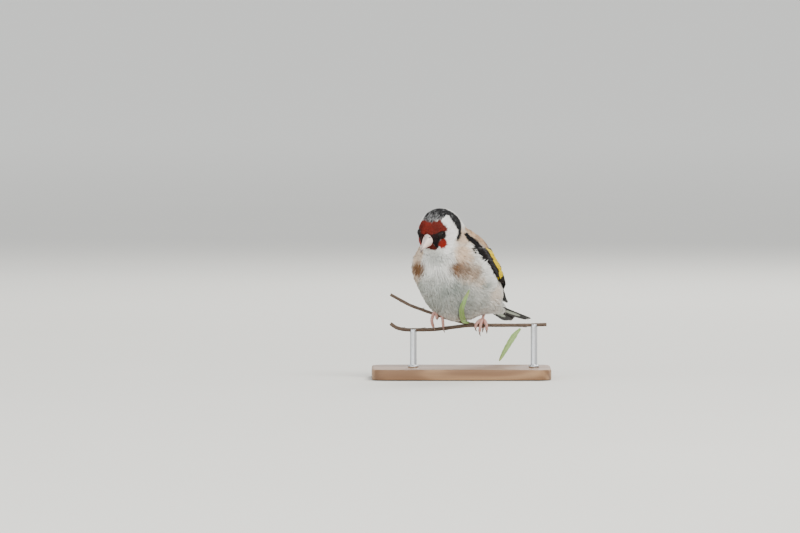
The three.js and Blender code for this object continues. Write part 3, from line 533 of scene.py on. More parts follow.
class Net:
    """A node tree. add() makes a node from its settings and the values or links of its sockets."""

    def __init__(self, tree):
        self.tree = tree

    def add(self, kind, settings=None, sockets=None, out=0):
        node = self.node = self.tree.nodes.new(kind)
        for key, value in (settings or {}).items():
            setattr(node, key, value)
        for key, value in (sockets or {}).items():
            self.put(value, self.find(node.inputs, key))
        if any(s.enabled for s in node.outputs):
            return Wire(self.find(node.outputs, out))

    @staticmethod
    def find(sockets, key):
        """A socket in use, by its number or its name."""
        shown = [s for s in sockets if s.enabled]
        return shown[key] if isinstance(key, int) else next(s for s in shown if s.name == key)

    def put(self, value, socket):
        if isinstance(value, Wire):
            self.tree.links.new(value.socket, socket)
        else:
            socket.default_value = value

    def blend(self, share, first, second, kind="MIX"):
        """A colour between two colours, or their product."""
        first, second = (v if isinstance(v, Wire) else (*v, 1) for v in (first, second))
        return self.add("ShaderNodeMix", {"data_type": "RGBA", "blend_type": kind},
                        {"Factor": share, "A": first, "B": second}, "Result")

    def attribute(self, name, out="Fac"):
        return self.add("ShaderNodeAttribute", {"attribute_name": name}, out=out)

    def noise(self, where, scale, detail=2.0, rough=0.5):
        return self.add("ShaderNodeTexNoise", None,
                        {"Vector": where, "Scale": scale, "Detail": detail, "Roughness": rough}, "Fac")

    def stretched(self, where, scale):
        return self.add("ShaderNodeMapping", None, {"Vector": where, "Scale": scale})

    def bump(self, height, strength, distance):
        return self.add("ShaderNodeBump", None,
                        {"Height": height, "Strength": strength, "Distance": distance}, "Normal")


def new_material(name, **constants):
    """A material with its shader's fixed values, its node tree and its object coordinates."""
    material = bpy.data.materials.new(name)
    material.use_nodes = True
    net = Net(material.node_tree)
    shader = next(n for n in net.tree.nodes if n.type == "BSDF_PRINCIPLED")
    for key, value in constants.items():
        shader.inputs[key.replace("_", " ")].default_value = value
    net.shader, net.material = shader, material
    net.place = net.add("ShaderNodeTexCoord", out="Object")
    return net


def shade(net, **sockets):
    for key, value in sockets.items():
        net.put(value, net.shader.inputs[key.replace("_", " ")])
    return net.material


WHITE = (0.78, 0.77, 0.73)
SNOW = (0.88, 0.87, 0.85)
# Grey of the painted shade on the white underside.
PAINTED_SHADE_GREY = (0.25, 0.285, 0.255)
CREAM = (0.58, 0.39, 0.24)
TAWNY = (0.18, 0.092, 0.042)
MANTLE = (0.23, 0.15, 0.095)
INK = (0.0045, 0.004, 0.005)
BRICK = (0.115, 0.011, 0.005)
SCARLET = (0.26, 0.013, 0.005)
RUST = (0.20, 0.017, 0.009)
# Dark maroon of painted shade: red feathers in shade, blended into the black lores.
SHADED_RED = (0.03, 0.006, 0.005)
FLECK = (0.28, 0.28, 0.28)
GOLD = (0.60, 0.47, 0.0)
AMBER = (0.52, 0.34, 0.0)


def plumage_material():
    """Skin and small feathers. Every mark is read from where the feather is rooted."""
    net = new_material("plumage", Roughness=0.75, Sheen_Weight=0.04, Specular_IOR_Level=0.14)
    root = net.attribute("root", "Vector")
    fine = net.noise(root, 900, 2) - 0.5
    wide = net.noise(root, 140, 2)
    wisp = net.attribute("tint")
    along = net.attribute("along")

    def mark(name, edge=0.25, fray=1.6):
        return (net.attribute(name) + fine * fray).rise(-edge, edge)

    # Painted shade: the white greyed, broken up by noise, where the underside is in shade.
    ground = net.blend((net.attribute("painted_shade") * (wide * 1.5 + 0.1)).clamp(), WHITE, PAINTED_SHADE_GREY)
    ground = net.blend(net.attribute("cream") * (wide * 0.7 + 0.4).clamp(), ground, CREAM)
    ground = net.blend((net.attribute("tawny") * (wide * 1.6 + 0.1)).clamp(), ground, TAWNY)
    ground = net.blend(net.attribute("mantle"), ground, net.blend(wide.rise(0.3, 0.7), MANTLE, CREAM))
    ground = net.blend(mark("shoulder"), ground, INK)
    ground = net.blend(mark("cheek"), ground, SNOW)
    flecks = (net.attribute("fleck") * 0.28 + wide * 0.35 + wisp * 0.55).rise(0.64, 0.82)
    ground = net.blend(mark("crown"), ground, net.blend(flecks * 0.8, INK, FLECK))
    ground = net.blend(mark("brow"), ground, net.blend(wide.rise(0.35, 0.65), BRICK, RUST))
    # The lores: black, blended by noise with the painted shade of red feathers in shade.
    ground = net.blend(mark("lores", 0.3, 2.0), ground, net.blend(wide.rise(0.42, 0.62), INK, SHADED_RED))
    ground = net.blend(mark("patch"), ground, SCARLET)
    ground = net.blend(mark("chin"), ground, BRICK)
    # Painted shade: each small feather darker towards its root, where the feathers over it shade it, with a
    # random tone (tint) for each feather.
    root_shade_and_tint = 0.62 + 0.30 * along + 0.22 * wisp
    root_shade_and_tint_grey = net.add("ShaderNodeCombineColor", None, {"Red": root_shade_and_tint, "Green": root_shade_and_tint, "Blue": root_shade_and_tint}, "Color")
    return shade(net, Base_Color=net.blend(1.0, ground, root_shade_and_tint_grey, "MULTIPLY"))


# Skin and coat

def build_skin(material):
    vertices, quads = net_surface(above_skin, *from_perch(TRUNK_BOX), SKIN["step"])
    skin = mesh_object("skin", vertices, quads, material)
    bpy.context.view_layer.objects.active = skin
    skin.select_set(True)
    bpy.ops.object.mode_set(mode="EDIT")
    bpy.ops.mesh.select_all(action="SELECT")
    bpy.ops.uv.smart_project(angle_limit=math.radians(66), island_margin=0.004)
    bpy.ops.object.mode_set(mode="OBJECT")
    skin.select_set(False)
    skin.data.uv_layers.active.name = "OFBake"
    normals = unit(slope(above_skin, vertices))
    # The skin takes a middle tint and along 0.2, the painted shade near the feathers' roots.
    marks = {**markings(vertices), "root": vertices * MM, "lie": lie_of_feathers(vertices, normals),
             "tint": np.full(len(vertices), 0.3), "along": np.full(len(vertices), 0.2)}
    for name, values in marks.items():
        set_attribute(skin.data, name, values)
    return finish_piece(skin, "plumage_body", "head", "neck", "torso", "rump"), vertices, quads, marks


def lie_of_feathers(points, normals):
    """The way that the small feathers point: away from the bill on the head, back and down on the body."""
    from_bill = unit(points - HEAD.at((9.5, 0, 0.5)))
    back = unit(-BODY.forward - 0.6 * BODY.up)
    away = np.linalg.norm(points - HEAD.origin, axis=1)
    lie = mix(from_bill, back, smooth(10, 20, away)[:, None])
    lie = lie - normals * (lie * normals).sum(1, keepdims=True)
    return unit(lie + 1e-6)


def tuft_mesh(name, rings, width=1.0, rise=0.16, droop=0.1):
    """A small flat feather, 1 long, that lifts off its root and settles again. Three sides, closed."""
    vertices, along, across = [(0, 0, 0)], [0], [0]
    for i in range(rings):
        t = (i + 1) / (rings + 0.6)
        half = 0.5 * width * math.sin(math.pi * t ** 0.75) ** 0.7
        height = rise * math.sin(math.pi * min(1, t * 0.9)) - droop * t * t
        vertices += [(-half, t, height), (half, t, height), (0, t, height + 0.03 + 0.12 * half * (1 - t))]
        along += [t] * 3
        across += [-0.5, 0.5, 0]
    vertices.append((0, 1, rise * math.sin(math.pi * 0.9) - droop))
    along.append(1)
    across.append(0)
    faces = [(0, 2, 1), (0, 1, 3), (0, 3, 2)]
    for i in range(rings - 1):
        a = 1 + 3 * i
        for j, k in ((0, 1), (1, 2), (2, 0)):
            faces.append((a + j, a + k, a + k + 3, a + j + 3))
    last, tip = 1 + 3 * (rings - 1), len(vertices) - 1
    faces += [(last, last + 1, tip), (last + 1, last + 2, tip), (last + 2, last, tip)]
    cell = np.stack([across, np.array(along) - 0.5, np.zeros(len(along))], -1)
    return mesh_object(name, np.array(vertices) / MM, faces, along=along, cell=cell)


BAKE_PATCH = 0.003  # size of a feather's patch on the map OFBake


def coat_tree():
    """Sets small feathers over a bed, each laid along the coat and joined into one mesh."""
    tree = bpy.data.node_groups.new("coat of small feathers", "GeometryNodeTree")
    wanted = {"Bed": "Geometry", "Feather": "Object", "Spacing": "Float", "Most per square metre": "Float",
              "Length": "Float", "Width": "Float", "Lift": "Float", "Mess": "Float", "Seed": "Int",
              "Finish": "Material"}
    for name, kind in wanted.items():
        tree.interface.new_socket(name=name, in_out="INPUT", socket_type="NodeSocket" + kind)
    tree.interface.new_socket(name="Coat", in_out="OUTPUT", socket_type="NodeSocketGeometry")
    net = Net(tree)
    net.add("NodeGroupInput")
    given = {s.name: Wire(s) for s in net.node.outputs if s.name}

    def vector(operation, *values):
        return net.add("ShaderNodeVectorMath", {"operation": operation}, dict(enumerate(values)))

    def chance(low, high, step):
        return net.add("FunctionNodeRandomValue", {"data_type": "FLOAT"},
                       {"Min": low, "Max": high, "Seed": given["Seed"] + step})

    def store(geometry, name, value, kind="FLOAT_VECTOR", domain="POINT"):
        return net.add("GeometryNodeStoreNamedAttribute", {"data_type": kind, "domain": domain},
                       {"Geometry": geometry, "Name": name, "Value": value})

    def named(name, kind="FLOAT_VECTOR"):
        return net.add("GeometryNodeInputNamedAttribute", {"data_type": kind}, {"Name": name})

    points = net.add("GeometryNodeDistributePointsOnFaces", {"distribute_method": "POISSON"},
                     {"Mesh": given["Bed"], "Distance Min": given["Spacing"],
                      "Density Max": given["Most per square metre"], "Seed": given["Seed"]})
    normal = Wire(net.node.outputs["Normal"])
    points = store(points, "root", net.add("GeometryNodeInputPosition"))
    points = store(points, "spot", named("OFBake"))
    points = store(points, "tint", chance(0.0, 1.0, 1), "FLOAT")
    lie = named("lie")
    aside = vector("SCALE", vector("CROSS_PRODUCT", normal, lie), chance(-1.0, 1.0, 2) * given["Mess"])
    lifted = vector("SCALE", normal, given["Lift"] * chance(0.4, 1.5, 3))
    aim = vector("ADD", vector("ADD", lie, aside), lifted)
    turn = net.add("FunctionNodeAlignRotationToVector", {"axis": "Y"}, {"Vector": aim})
    turn = net.add("FunctionNodeAlignRotationToVector", {"axis": "Z", "pivot_axis": "Y"},
                   {"Rotation": turn, "Vector": normal})
    long = given["Length"] * chance(0.75, 1.2, 4) * named("size", "FLOAT")
    broad = given["Width"] * chance(0.75, 1.25, 5) * named("size", "FLOAT")
    laid = net.add("GeometryNodeInstanceOnPoints", None, {
        "Points": points, "Rotation": turn,
        "Instance": net.add("GeometryNodeObjectInfo", None, {"Object": given["Feather"]}, "Geometry"),
        "Scale": net.add("ShaderNodeCombineXYZ", None, {"X": broad, "Y": long, "Z": long})})
    whole = net.add("GeometryNodeRealizeInstances", None, {"Geometry": laid})
    spot = vector("ADD", named("spot"), vector("SCALE", named("cell"), BAKE_PATCH))
    whole = store(whole, "OFBake", spot, "FLOAT2", "CORNER")
    whole = net.add("GeometryNodeSetShadeSmooth", None, {"Geometry": whole})
    whole = net.add("GeometryNodeSetMaterial", None, {"Geometry": whole, "Material": given["Finish"]})
    net.add("NodeGroupOutput")
    net.put(whole, net.node.inputs["Coat"])
    return tree


def eye_centre(sign):
    return HEAD.at(np.multiply(EYE["at"], (1, sign, 1)))


def from_eyes(points):
    return np.min([np.linalg.norm(points - eye_centre(sign), axis=1) for _, sign in SIDES], axis=0)


KEPT_MARKS = {"root", "tint", "along", "painted_shade", "cream", "tawny", "mantle", "shoulder", "fleck", "OFBake",
              "position", "material_index", "sharp_face", *HEAD_MAP}
COAT = {  # spacing, length and width in mm, lift and sideways mess as shares of the length
    "head": (0.155, 2.0, 0.30, 0.16, 0.22), "neck": (0.22, 4.1, 0.44, 0.16, 0.25),
    "breast": (0.21, 5.1, 0.46, 0.16, 0.30), "belly": (0.22, 5.5, 0.46, 0.16, 0.32),
    "mantle": (0.23, 4.7, 0.62, 0.12, 0.20), "rump": (0.24, 5.4, 0.52, 0.12, 0.24),
    "side": (0.20, 5.0, 0.46, 0.05, 0.22),
}
COAT_PIECES = ("head_left", "head_right", "neck", "breast_left", "breast_right", "belly_left", "belly_right",
               "mantle", "rump", "side_left", "side_right")


COAT_EDGES = {"belly": -1, "mantle": 4, "neck": 11, "front": 3}  # heights on the body, and forward of the mantle


def coat_region(points):
    """Which piece of coat covers each point of the skin."""
    q = BODY.into(points)
    head_way = unit(0.75 * HEAD.up + 0.55 * unit(HEAD.origin - BODY.origin))
    on_head = (points - HEAD.at((-1, 0, -7.2))) @ head_way > 0
    left = np.where(on_head, HEAD.into(points)[:, 1], q[:, 1]) > 0
    front, high = q[:, 0] > COAT_EDGES["front"], q[:, 2]
    names = np.where(high < COAT_EDGES["belly"], np.where(left, "belly_left", "belly_right"),
                     np.where(left, "breast_left", "breast_right"))
    names = np.where((high > COAT_EDGES["neck"]) & front, "neck", names)
    names = np.where((high > COAT_EDGES["mantle"]) & ~front, "mantle", names)
    behind = (points - BODY.at((-14, 0, -4))) @ (-0.93 * BODY.forward - 0.36 * BODY.up) > 0
    names = np.where(behind, "rump", names)
    return np.where(on_head, np.where(left, "head_left", "head_right"), names)


TIP_REACH = (0.9, 2.6)  # from root to tip of the small feathers, as laid, on the head and on the body


def tip_marks(vertices, marks):
    """Markings for feathers rooted at the vertices: each shows the marking where its tip lies."""
    away = np.linalg.norm(vertices - HEAD.origin, axis=1)
    reach = mix(*TIP_REACH, smooth(10, 18, away))
    return {**marks, **markings(vertices + marks["lie"] * reach[:, None])}


def wing_axes():
    """The wrist of the left wing, and the ways along the wing, down across it to its leading edge, and out."""
    wrist = np.array(WING["wrist"], float)
    along = unit(np.array(WING["tip"], float) - wrist)
    out = np.array(WING["lean"], float)
    out = unit(out - along * (out @ along))
    return wrist, along, np.cross(along, out), out


# The part of the folded wing's chart that hides the skin: along, across, out from the trunk, and how far it
# stays over SIDE_LINE.
HIDING = {"along": (10, 34), "across": -3.5, "out": -9, "clear": 1.5}


def under_wing(points):
    """Whether the flight feathers of a folded wing hide the skin at each point."""
    wrist, along, across, out = wing_axes()
    hidden = np.zeros(len(points), bool)
    for _, sign in SIDES:
        q = BODY.into(points) * (1, sign, 1) - wrist
        s, t, h = q @ along, q @ across, q @ out
        hidden |= ((s > HIDING["along"][0]) & (s < HIDING["along"][1]) & (t > HIDING["across"])
                   & (h > HIDING["out"]) & (t < np.interp(s, *SIDE_LINE) - HIDING["clear"]))
    return hidden


# Feathers of a wing are lowered onto it from this height in steps, and the last step is halved so often.
BED_SEARCH = {"from": 22.0, "step": 0.8, "steps": 65, "halvings": 12}


def wing_bed(sign):
    """Lays places of a wing's chart, along from the wrist, across and out, on the folded wing."""
    wrist, along, across, out = wing_axes()

    def place(s, t, h):
        q = wrist + np.multiply.outer(s, along) + np.multiply.outer(t, across) + np.multiply.outer(h, out)
        return BODY.at(q * (1, sign, 1))

    def spot(s, t, h):
        return place(np.array([float(s)]), np.array([float(t)]), np.array([float(h)]))[0]

    size = np.array(WING["bed_size"], float)
    centre = spot(WING["bed_at"], 2, -size[2])
    long = spot(60, 2, 0) - spot(30, 2, 0)
    wide = spot(45, 12, 0) - spot(45, 2, 0)
    axes = unit(np.array([long, wide, np.cross(long, wide)]))
    bed = [*CORE, (centre, axes, size)]

    def laid(s, t, lift):
        height = lift * (1 - WING["thin_front"] * np.exp(-(((s + 4) / WING["thin_reach"]) ** 2)))
        high = np.full(len(s), BED_SEARCH["from"])
        for _ in range(BED_SEARCH["steps"]):
            clear = outside(place(s, t, high), bed) > height
            if not clear.any():
                break
            high = np.where(clear, high - BED_SEARCH["step"], high)
        low, high = high, high + BED_SEARCH["step"]
        for _ in range(BED_SEARCH["halvings"]):
            middle = (low + high) / 2
            clear = outside(place(s, t, middle), bed) > height
            high, low = np.where(clear, middle, high), np.where(clear, low, middle)
        return place(s, t, low)

    return laid


# Long white feathers of the breast sides lie over the front of the folded wing. They start below a line across
# it, given as (along, across) from the wrist, and lean back over it. Behind SIDE_END the line still parts the
# wing, which lies over the flank above it, from the flank, which hides the wing below it.
SIDE_LINE = np.array([(-8, -4.8), (-2, -1.6), (8, 3.6), (14, 6.0), (22, 9.6), (38, 16)], float).T
SIDE_END = 10
SIDE_LEAN = 0.35  # how steeply they lean up over the wing
SIDE_REACH = (4.4, 3.0)  # how far from the line they are rooted, along and across
SIDE_WIDTH = 6  # of the strip where they are rooted
SIDE_HEIGHT = (1.7, -0.2)  # of their roots over the bed of the wing: in front and above, behind and below
FLANK = 14.5  # they grow only this far out from the body's middle


def side_bed(sign, skin_middles, corner_uv):
    """A bed over the front of the wing: vertices, quads, their places on the skin's unwrap, and marks."""
    laid = wing_bed(sign)
    rows, columns = np.arange(-7, 35, 0.9), np.arange(-6, 13, 0.9)
    s, t = (grid.ravel() for grid in np.meshgrid(rows, columns, indexing="ij"))
    limit = np.interp(s + SIDE_REACH[0], *SIDE_LINE) + SIDE_REACH[1]
    height = GAP + mix(*SIDE_HEIGHT, np.maximum(smooth(5, 13, s), smooth(1.5, 5.5, t - limit)))
    vertices = laid(s, t, height)
    back = unit(laid(s + 0.5, t, height) - laid(s - 0.5, t, height))
    down = unit(laid(s, t + 0.5, height) - laid(s, t - 0.5, height))
    lie = unit(back - SIDE_LEAN * down)
    n = len(columns)
    i, j = (grid.ravel() for grid in np.meshgrid(np.arange(len(rows) - 1), np.arange(n - 1), indexing="ij"))
    quads = np.stack([i * n + j, i * n + j + 1, (i + 1) * n + j + 1, (i + 1) * n + j], -1)
    if sign < 0:
        quads = quads[:, ::-1]
    aside = np.abs(BODY.into(vertices)[:, 1])
    grown = (t > limit) & (t < limit + SIDE_WIDTH) & (s < SIDE_END)
    grown &= (aside > FLANK) & (outside(vertices) > -1.0)
    quads = quads[grown[quads].all(1)]
    tree = KDTree(len(skin_middles))
    for k, middle in enumerate(skin_middles):
        tree.insert(middle, k)
    tree.balance()
    nearest = [tree.find(middle)[1] for middle in vertices[quads].mean(1)]
    count = len(vertices)
    marks = {**markings(vertices + TIP_REACH[1] * lie), "lie": lie, "size": np.ones(count),
             "shoulder": np.full(count, NO_MARK), "mantle": np.zeros(count)}
    return vertices, quads, corner_uv[nearest], marks


CROWDING = 2.2  # most feathers on a square as wide as their spacing


def grow_coat(tree, name, feather, recipe, bed_parts, material, seed):
    """Grows one piece of coat over a bed by the node tree, which is then applied."""
    vertices, quads, uv, marks = bed_parts
    spacing, long, broad, lift, mess = recipe
    used, faces = np.unique(quads, return_inverse=True)
    bed = mesh_object("bed", vertices[used], faces.reshape(-1, 4))
    bed.data.uv_layers.new(name="OFBake").uv.foreach_set("vector", uv.ravel())
    for mark, values in marks.items():
        if mark not in ("root", "tint", "along"):
            set_attribute(bed.data, mark, values[used])
    layer = bed.modifiers.new("coat", "NODES")
    layer.node_group = tree
    sockets = {item.name: item.identifier for item in tree.interface.items_tree if item.in_out == "INPUT"}
    settings = {"Feather": feather, "Spacing": spacing * MM,
                "Most per square metre": CROWDING / (spacing * MM) ** 2, "Length": long * MM,
                "Width": broad * MM, "Lift": lift, "Mess": mess, "Seed": seed, "Finish": material}
    for key, value in settings.items():
        layer[sockets[key]] = value
    graph = bpy.context.evaluated_depsgraph_get()
    mesh = bpy.data.meshes.new_from_object(bed.evaluated_get(graph), preserve_all_data_layers=True,
                                           depsgraph=graph)
    for attribute in [a.name for a in mesh.attributes]:
        if attribute not in KEPT_MARKS and not attribute.startswith("."):
            mesh.attributes.remove(mesh.attributes[attribute])
    bpy.data.objects.remove(bed)
    finish_piece(new_object("coat_" + name, mesh), "plumage_head" if "head" in name else "plumage_body")


BILL_FOOT = {"from": 8.5, "up": 0.1, "wide": 2.9, "high": 3.2}  # the oval under the bill, where nothing grows


def build_coat(skin, vertices, quads, marks, material):
    marks = tip_marks(vertices, marks)
    tree = coat_tree()
    feather = tuft_mesh("small_feather", 2)
    corner_uv = np.zeros(len(skin.data.loops) * 2)
    skin.data.uv_layers["OFBake"].uv.foreach_get("vector", corner_uv)
    corner_uv = corner_uv.reshape(-1, 4, 2)
    middles = vertices[quads].mean(1)
    regions = coat_region(middles)
    f, l, u = HEAD.into(middles).T
    from_foot = np.hypot(l / BILL_FOOT["wide"], (u - BILL_FOOT["up"]) / BILL_FOOT["high"])
    under_bill = (f > BILL_FOOT["from"]) & (from_foot < 1)
    bare = under_bill | (from_eyes(middles) < EYE["radius"] - 0.05) | under_wing(middles)
    away = np.linalg.norm(vertices - HEAD.at((11, 0, 0)), axis=1)
    marks["size"] = mix(0.55, 1.0, smooth(2, 9, away)) * mix(0.6, 1.0, smooth(2.4, 5, from_eyes(vertices)))
    sides = dict(SIDES)
    for seed, name in enumerate(COAT_PIECES, 1):
        region, _, side = name.partition("_")
        if region == "side":
            parts = side_bed(sides[side], middles, corner_uv)
        else:
            chosen = (regions == name) & ~bare
            parts = vertices, quads[chosen], corner_uv[chosen], marks
        grow_coat(tree, name, feather, COAT[region], parts, material, seed)
    bpy.data.objects.remove(feather)


# Flight and tail feathers

VANE = {"thick": 0.17, "edge": 0.05, "tilt": 0.3, "camber": 0.14}
# Roots and tips run from the leading feather to the trailing one, as (along, across) on the folded wing.
# white is the length of the mark at the tip.
TIERS = {
    "primaries": {"count": 9, "root": [(14, 7.4), (14, 3.0)], "tip": [(70, 0.6), (52, -2.0)], "ease": 1.4,
                  "width": 5.2, "lift": 0.55, "tip_share": 0.2, "white": 1.7, "rachis": -0.3},
    "secondaries": {"count": 7, "root": [(12, 5.4), (10, -0.8)], "tip": [(49, 0.2), (44, -3.4)], "ease": 1,
                    "width": 5.6, "lift": 0.85, "tip_share": 0.22, "white": 2.6, "rachis": -0.25},
    "tertials": {"count": 3, "root": [(9, -1.2), (6, -4.0)], "tip": [(43, -3.0), (27, -5.6)], "ease": 1,
                 "width": 6.4, "lift": 1.2, "tip_share": 0.35, "white": 4.2, "rachis": -0.1},
    "primary_coverts": {"count": 5, "root": [(10, 7.2), (10, 4.0)], "tip": [(31, 6.0), (27, 3.4)], "ease": 1,
                        "width": 3.2, "lift": 1.3, "tip_share": 0.4, "white": 0, "rachis": -0.2},
    "greater_coverts": {"count": 9, "root": [(4, 6.6), (-1, -3.6)], "tip": [(19, 6.2), (12.5, -4.2)], "ease": 1,
                        "width": 3.8, "lift": 1.55, "tip_share": 0.5, "white": 0, "rachis": -0.1},
    "median_coverts": {"count": 9, "root": [(0, 6.2), (-6, -3.4)], "tip": [(11, 6.2), (2.2, -4.0)], "ease": 1,
                       "width": 3.4, "lift": 1.85, "tip_share": 0.6, "white": 0, "rachis": 0},
    "lesser_coverts": {"count": 9, "root": [(-3, 5.6), (-6, -3.2)], "tip": [(6.6, 6.2), (0.6, -4.0)], "ease": 1,
                       "width": 3.2, "lift": 2.05, "tip_share": 0.7, "white": 0, "rachis": 0},
    "marginal_coverts": {"count": 8, "root": [(-6, 4.6), (-6, -1.6)], "tip": [(2.2, 5.8), (0, -3.4)], "ease": 1,
                         "width": 3.2, "lift": 2.0, "tip_share": 0.7, "white": 0, "rachis": 0},
}
# The golden bar starts this far along the wing, further out near the leading edge, and ends sooner there.
GOLD_BAR = {"from": 8.2, "slant": 0.65, "to": 21, "back": 0.75}
GOLDEN = ("primaries", "secondaries", "primary_coverts", "greater_coverts", "marginal_coverts")
# Behind the side feathers the wing stands out by this much, most at this place along it, within this reach.
BULGE = {"out": 1.5, "at": 20, "reach": 8}


def vane_sheet(place, steps, columns):
    """A thin closed feather. place(along, across, face) gives points, with face -1 below and 1 above."""
    along, across = np.meshgrid(np.linspace(0, 1, steps + 1), np.linspace(-1, 1, columns + 1), indexing="ij")
    along, across = along.ravel(), across.ravel()
    vertices = np.vstack([place(along, across, -1), place(along, across, 1)])
    row, layer = columns + 1, (steps + 1) * (columns + 1)
    faces = []
    for i in range(steps):
        for j in range(columns):
            a = i * row + j
            faces.append((a, a + 1, a + row + 1, a + row))
            faces.append((layer + a, layer + a + row, layer + a + row + 1, layer + a + 1))
    rim = list(range(columns)) + [i * row + columns for i in range(steps)]
    rim += [steps * row + j for j in range(columns, 0, -1)] + [i * row for i in range(steps, 0, -1)]
    for a, b in zip(rim, rim[1:] + rim[:1]):
        faces.append((a, a + layer, b + layer, b))
    return vertices, faces, np.tile(along, 2), np.tile(across, 2)


def feather_outline(along, tip_share, fray):
    """Half width of a feather along its length, as a share."""
    in_tip = np.maximum(0, (along - 1 + tip_share) / tip_share)
    return np.minimum(1, 0.55 + 1.1 * along) * np.sqrt(np.maximum(0.012, 1 - in_tip**2)) * (1 - fray)


def wing_feather(tier, share, dice):
    """One feather of a tier on the wing's chart: its sheet, faces and attributes."""
    root, tip = (mix(*np.array(tier[end], float), share) for end in ("root", "tip"))
    tip[0] = mix(tier["tip"][0][0], tier["tip"][1][0], share ** tier["ease"])
    tip = tip + dice.normal(0, 0.25, 2)
    run = tip - root
    length = np.linalg.norm(run)
    aside = np.array([-run[1], run[0]]) / length
    phase = dice.uniform(0, ALL_ROUND, 3)

    def place(along, across, face):
        fray = 0.035 * (np.sin(61 * along + phase[0]) + np.sin(97 * along + phase[1])) * np.abs(across)
        half = tier["width"] / 2 * feather_outline(along, tier["tip_share"], fray) * across
        thick = mix(VANE["thick"], VANE["edge"], across**2) / 2
        lift = GAP + tier["lift"] + VANE["tilt"] * across + VANE["camber"] * (1 - across**2)
        return np.stack([root[0] + run[0] * along + aside[0] * half,
                         root[1] + run[1] * along + aside[1] * half, lift + face * thick], -1)

    sheet, faces, along, across = vane_sheet(place, 9 if length < 18 else 22, 6)
    none = np.full(len(along), NO_MARK)
    start = GOLD_BAR["from"] + GOLD_BAR["slant"] * sheet[:, 1]
    end = GOLD_BAR["to"] - GOLD_BAR["back"] * sheet[:, 1]
    gold = np.minimum(sheet[:, 0] - start, end - sheet[:, 0]) + dice.uniform(-0.6, 0.6)
    white = tier["white"] - (1 - along) * length - 0.8 * np.abs(across)
    return sheet, faces, {
        "along": along, "across": across - tier["rachis"], "white": white if tier["white"] else none,
        "gold": gold if tier in [TIERS[name] for name in GOLDEN] else none,
        "tint": np.full(len(along), dice.uniform()), "reach": along * length}


def build_wing(side, sign, material):
    dice = np.random.default_rng(SEEDS["wing"] + sign)
    made = [wing_feather(tier, i / (tier["count"] - 1), dice)
            for tier in TIERS.values() for i in range(tier["count"])]
    flat, faces = join([feather[:2] for feather in made])
    s, t, lift = flat.T
    solid = wing_bed(sign)(s, t, lift)
    depth = -outside(solid)
    over = smooth(8, 12, s) * (1 - smooth(-0.6, 1.0, t - np.interp(s, *SIDE_LINE)))
    bulge = BULGE["out"] * np.exp(-(((s - BULGE["at"]) / BULGE["reach"]) ** 2)) * smooth(-4.5, 1.5, t)
    float_up = np.maximum(0, depth + 0.2 + 0.5 * (lift - GAP)) + bulge
    dive = 2.2 * smooth(0.1, 1.0, depth)
    solid = solid + slope(outside, solid) * (over * float_up - (1 - over) * dive)[:, None]
    return add_piece("feathers_of_wing_" + side, solid, faces, material, "plumage_wing", "wing_" + side,
                     **together([feather[2] for feather in made]))


def tail_feather(sign, i, dice):
    """The tail's feather i on one side, from the middle outwards: its vertices, faces and attributes."""
    share = i / (TAIL["pairs"] - 1)
    length = TAIL["length"] - TAIL["fork"] * (1 - share) ** 1.2
    phase = dice.uniform(0, ALL_ROUND, 2)

    def place(along, across, face):
        fray = 0.03 * (np.sin(71 * along + phase[0]) + np.sin(113 * along + phase[1])) * np.abs(across)
        half = TAIL["vane"] / 2 * feather_outline(along, 0.13, fray) * across
        spread = TAIL["root_half"] + (TAIL["tip_half"] - TAIL["root_half"]) * along - TAIL["vane"] / 2
        offset = sign * (0.25 + share * spread) + half
        level = TAIL["step"] * (2.2 - i) + 0.2 * sign * across - 0.5 * (offset / TAIL["tip_half"]) ** 2
        thick = mix(VANE["thick"], VANE["edge"], across**2) / 2
        level = level - 0.1 * sign + 0.12 * (1 - across**2) + face * thick
        return RUDDER.at(np.stack([-length * along, offset, level], -1))

    vertices, faces, along, across = vane_sheet(place, 34, 8)
    outer = across * sign
    oval = 1 - np.sqrt(((along - 0.64) / 0.17) ** 2 + ((outer + 0.1) / 0.5) ** 2)
    return vertices, faces, {
        "along": along, "across": outer - 0.25,
        "white": mix(3.6, 1.5, share) - (1 - along) * length - 0.6 * np.abs(outer),
        "pale": oval * 3 if i >= TAIL["first_oval"] else np.full(len(along), NO_MARK),
        "tint": np.full(len(along), dice.uniform()), "reach": along * length}


def build_tail(material):
    dice = np.random.default_rng(SEEDS["tail"])
    made = [tail_feather(sign, i, dice) for _, sign in SIDES for i in range(TAIL["pairs"])]
    vertices, faces = join([feather[:2] for feather in made])
    add_piece("feathers_of_tail", vertices, faces, material, "plumage_tail", "tail",
              **together([feather[2] for feather in made]))


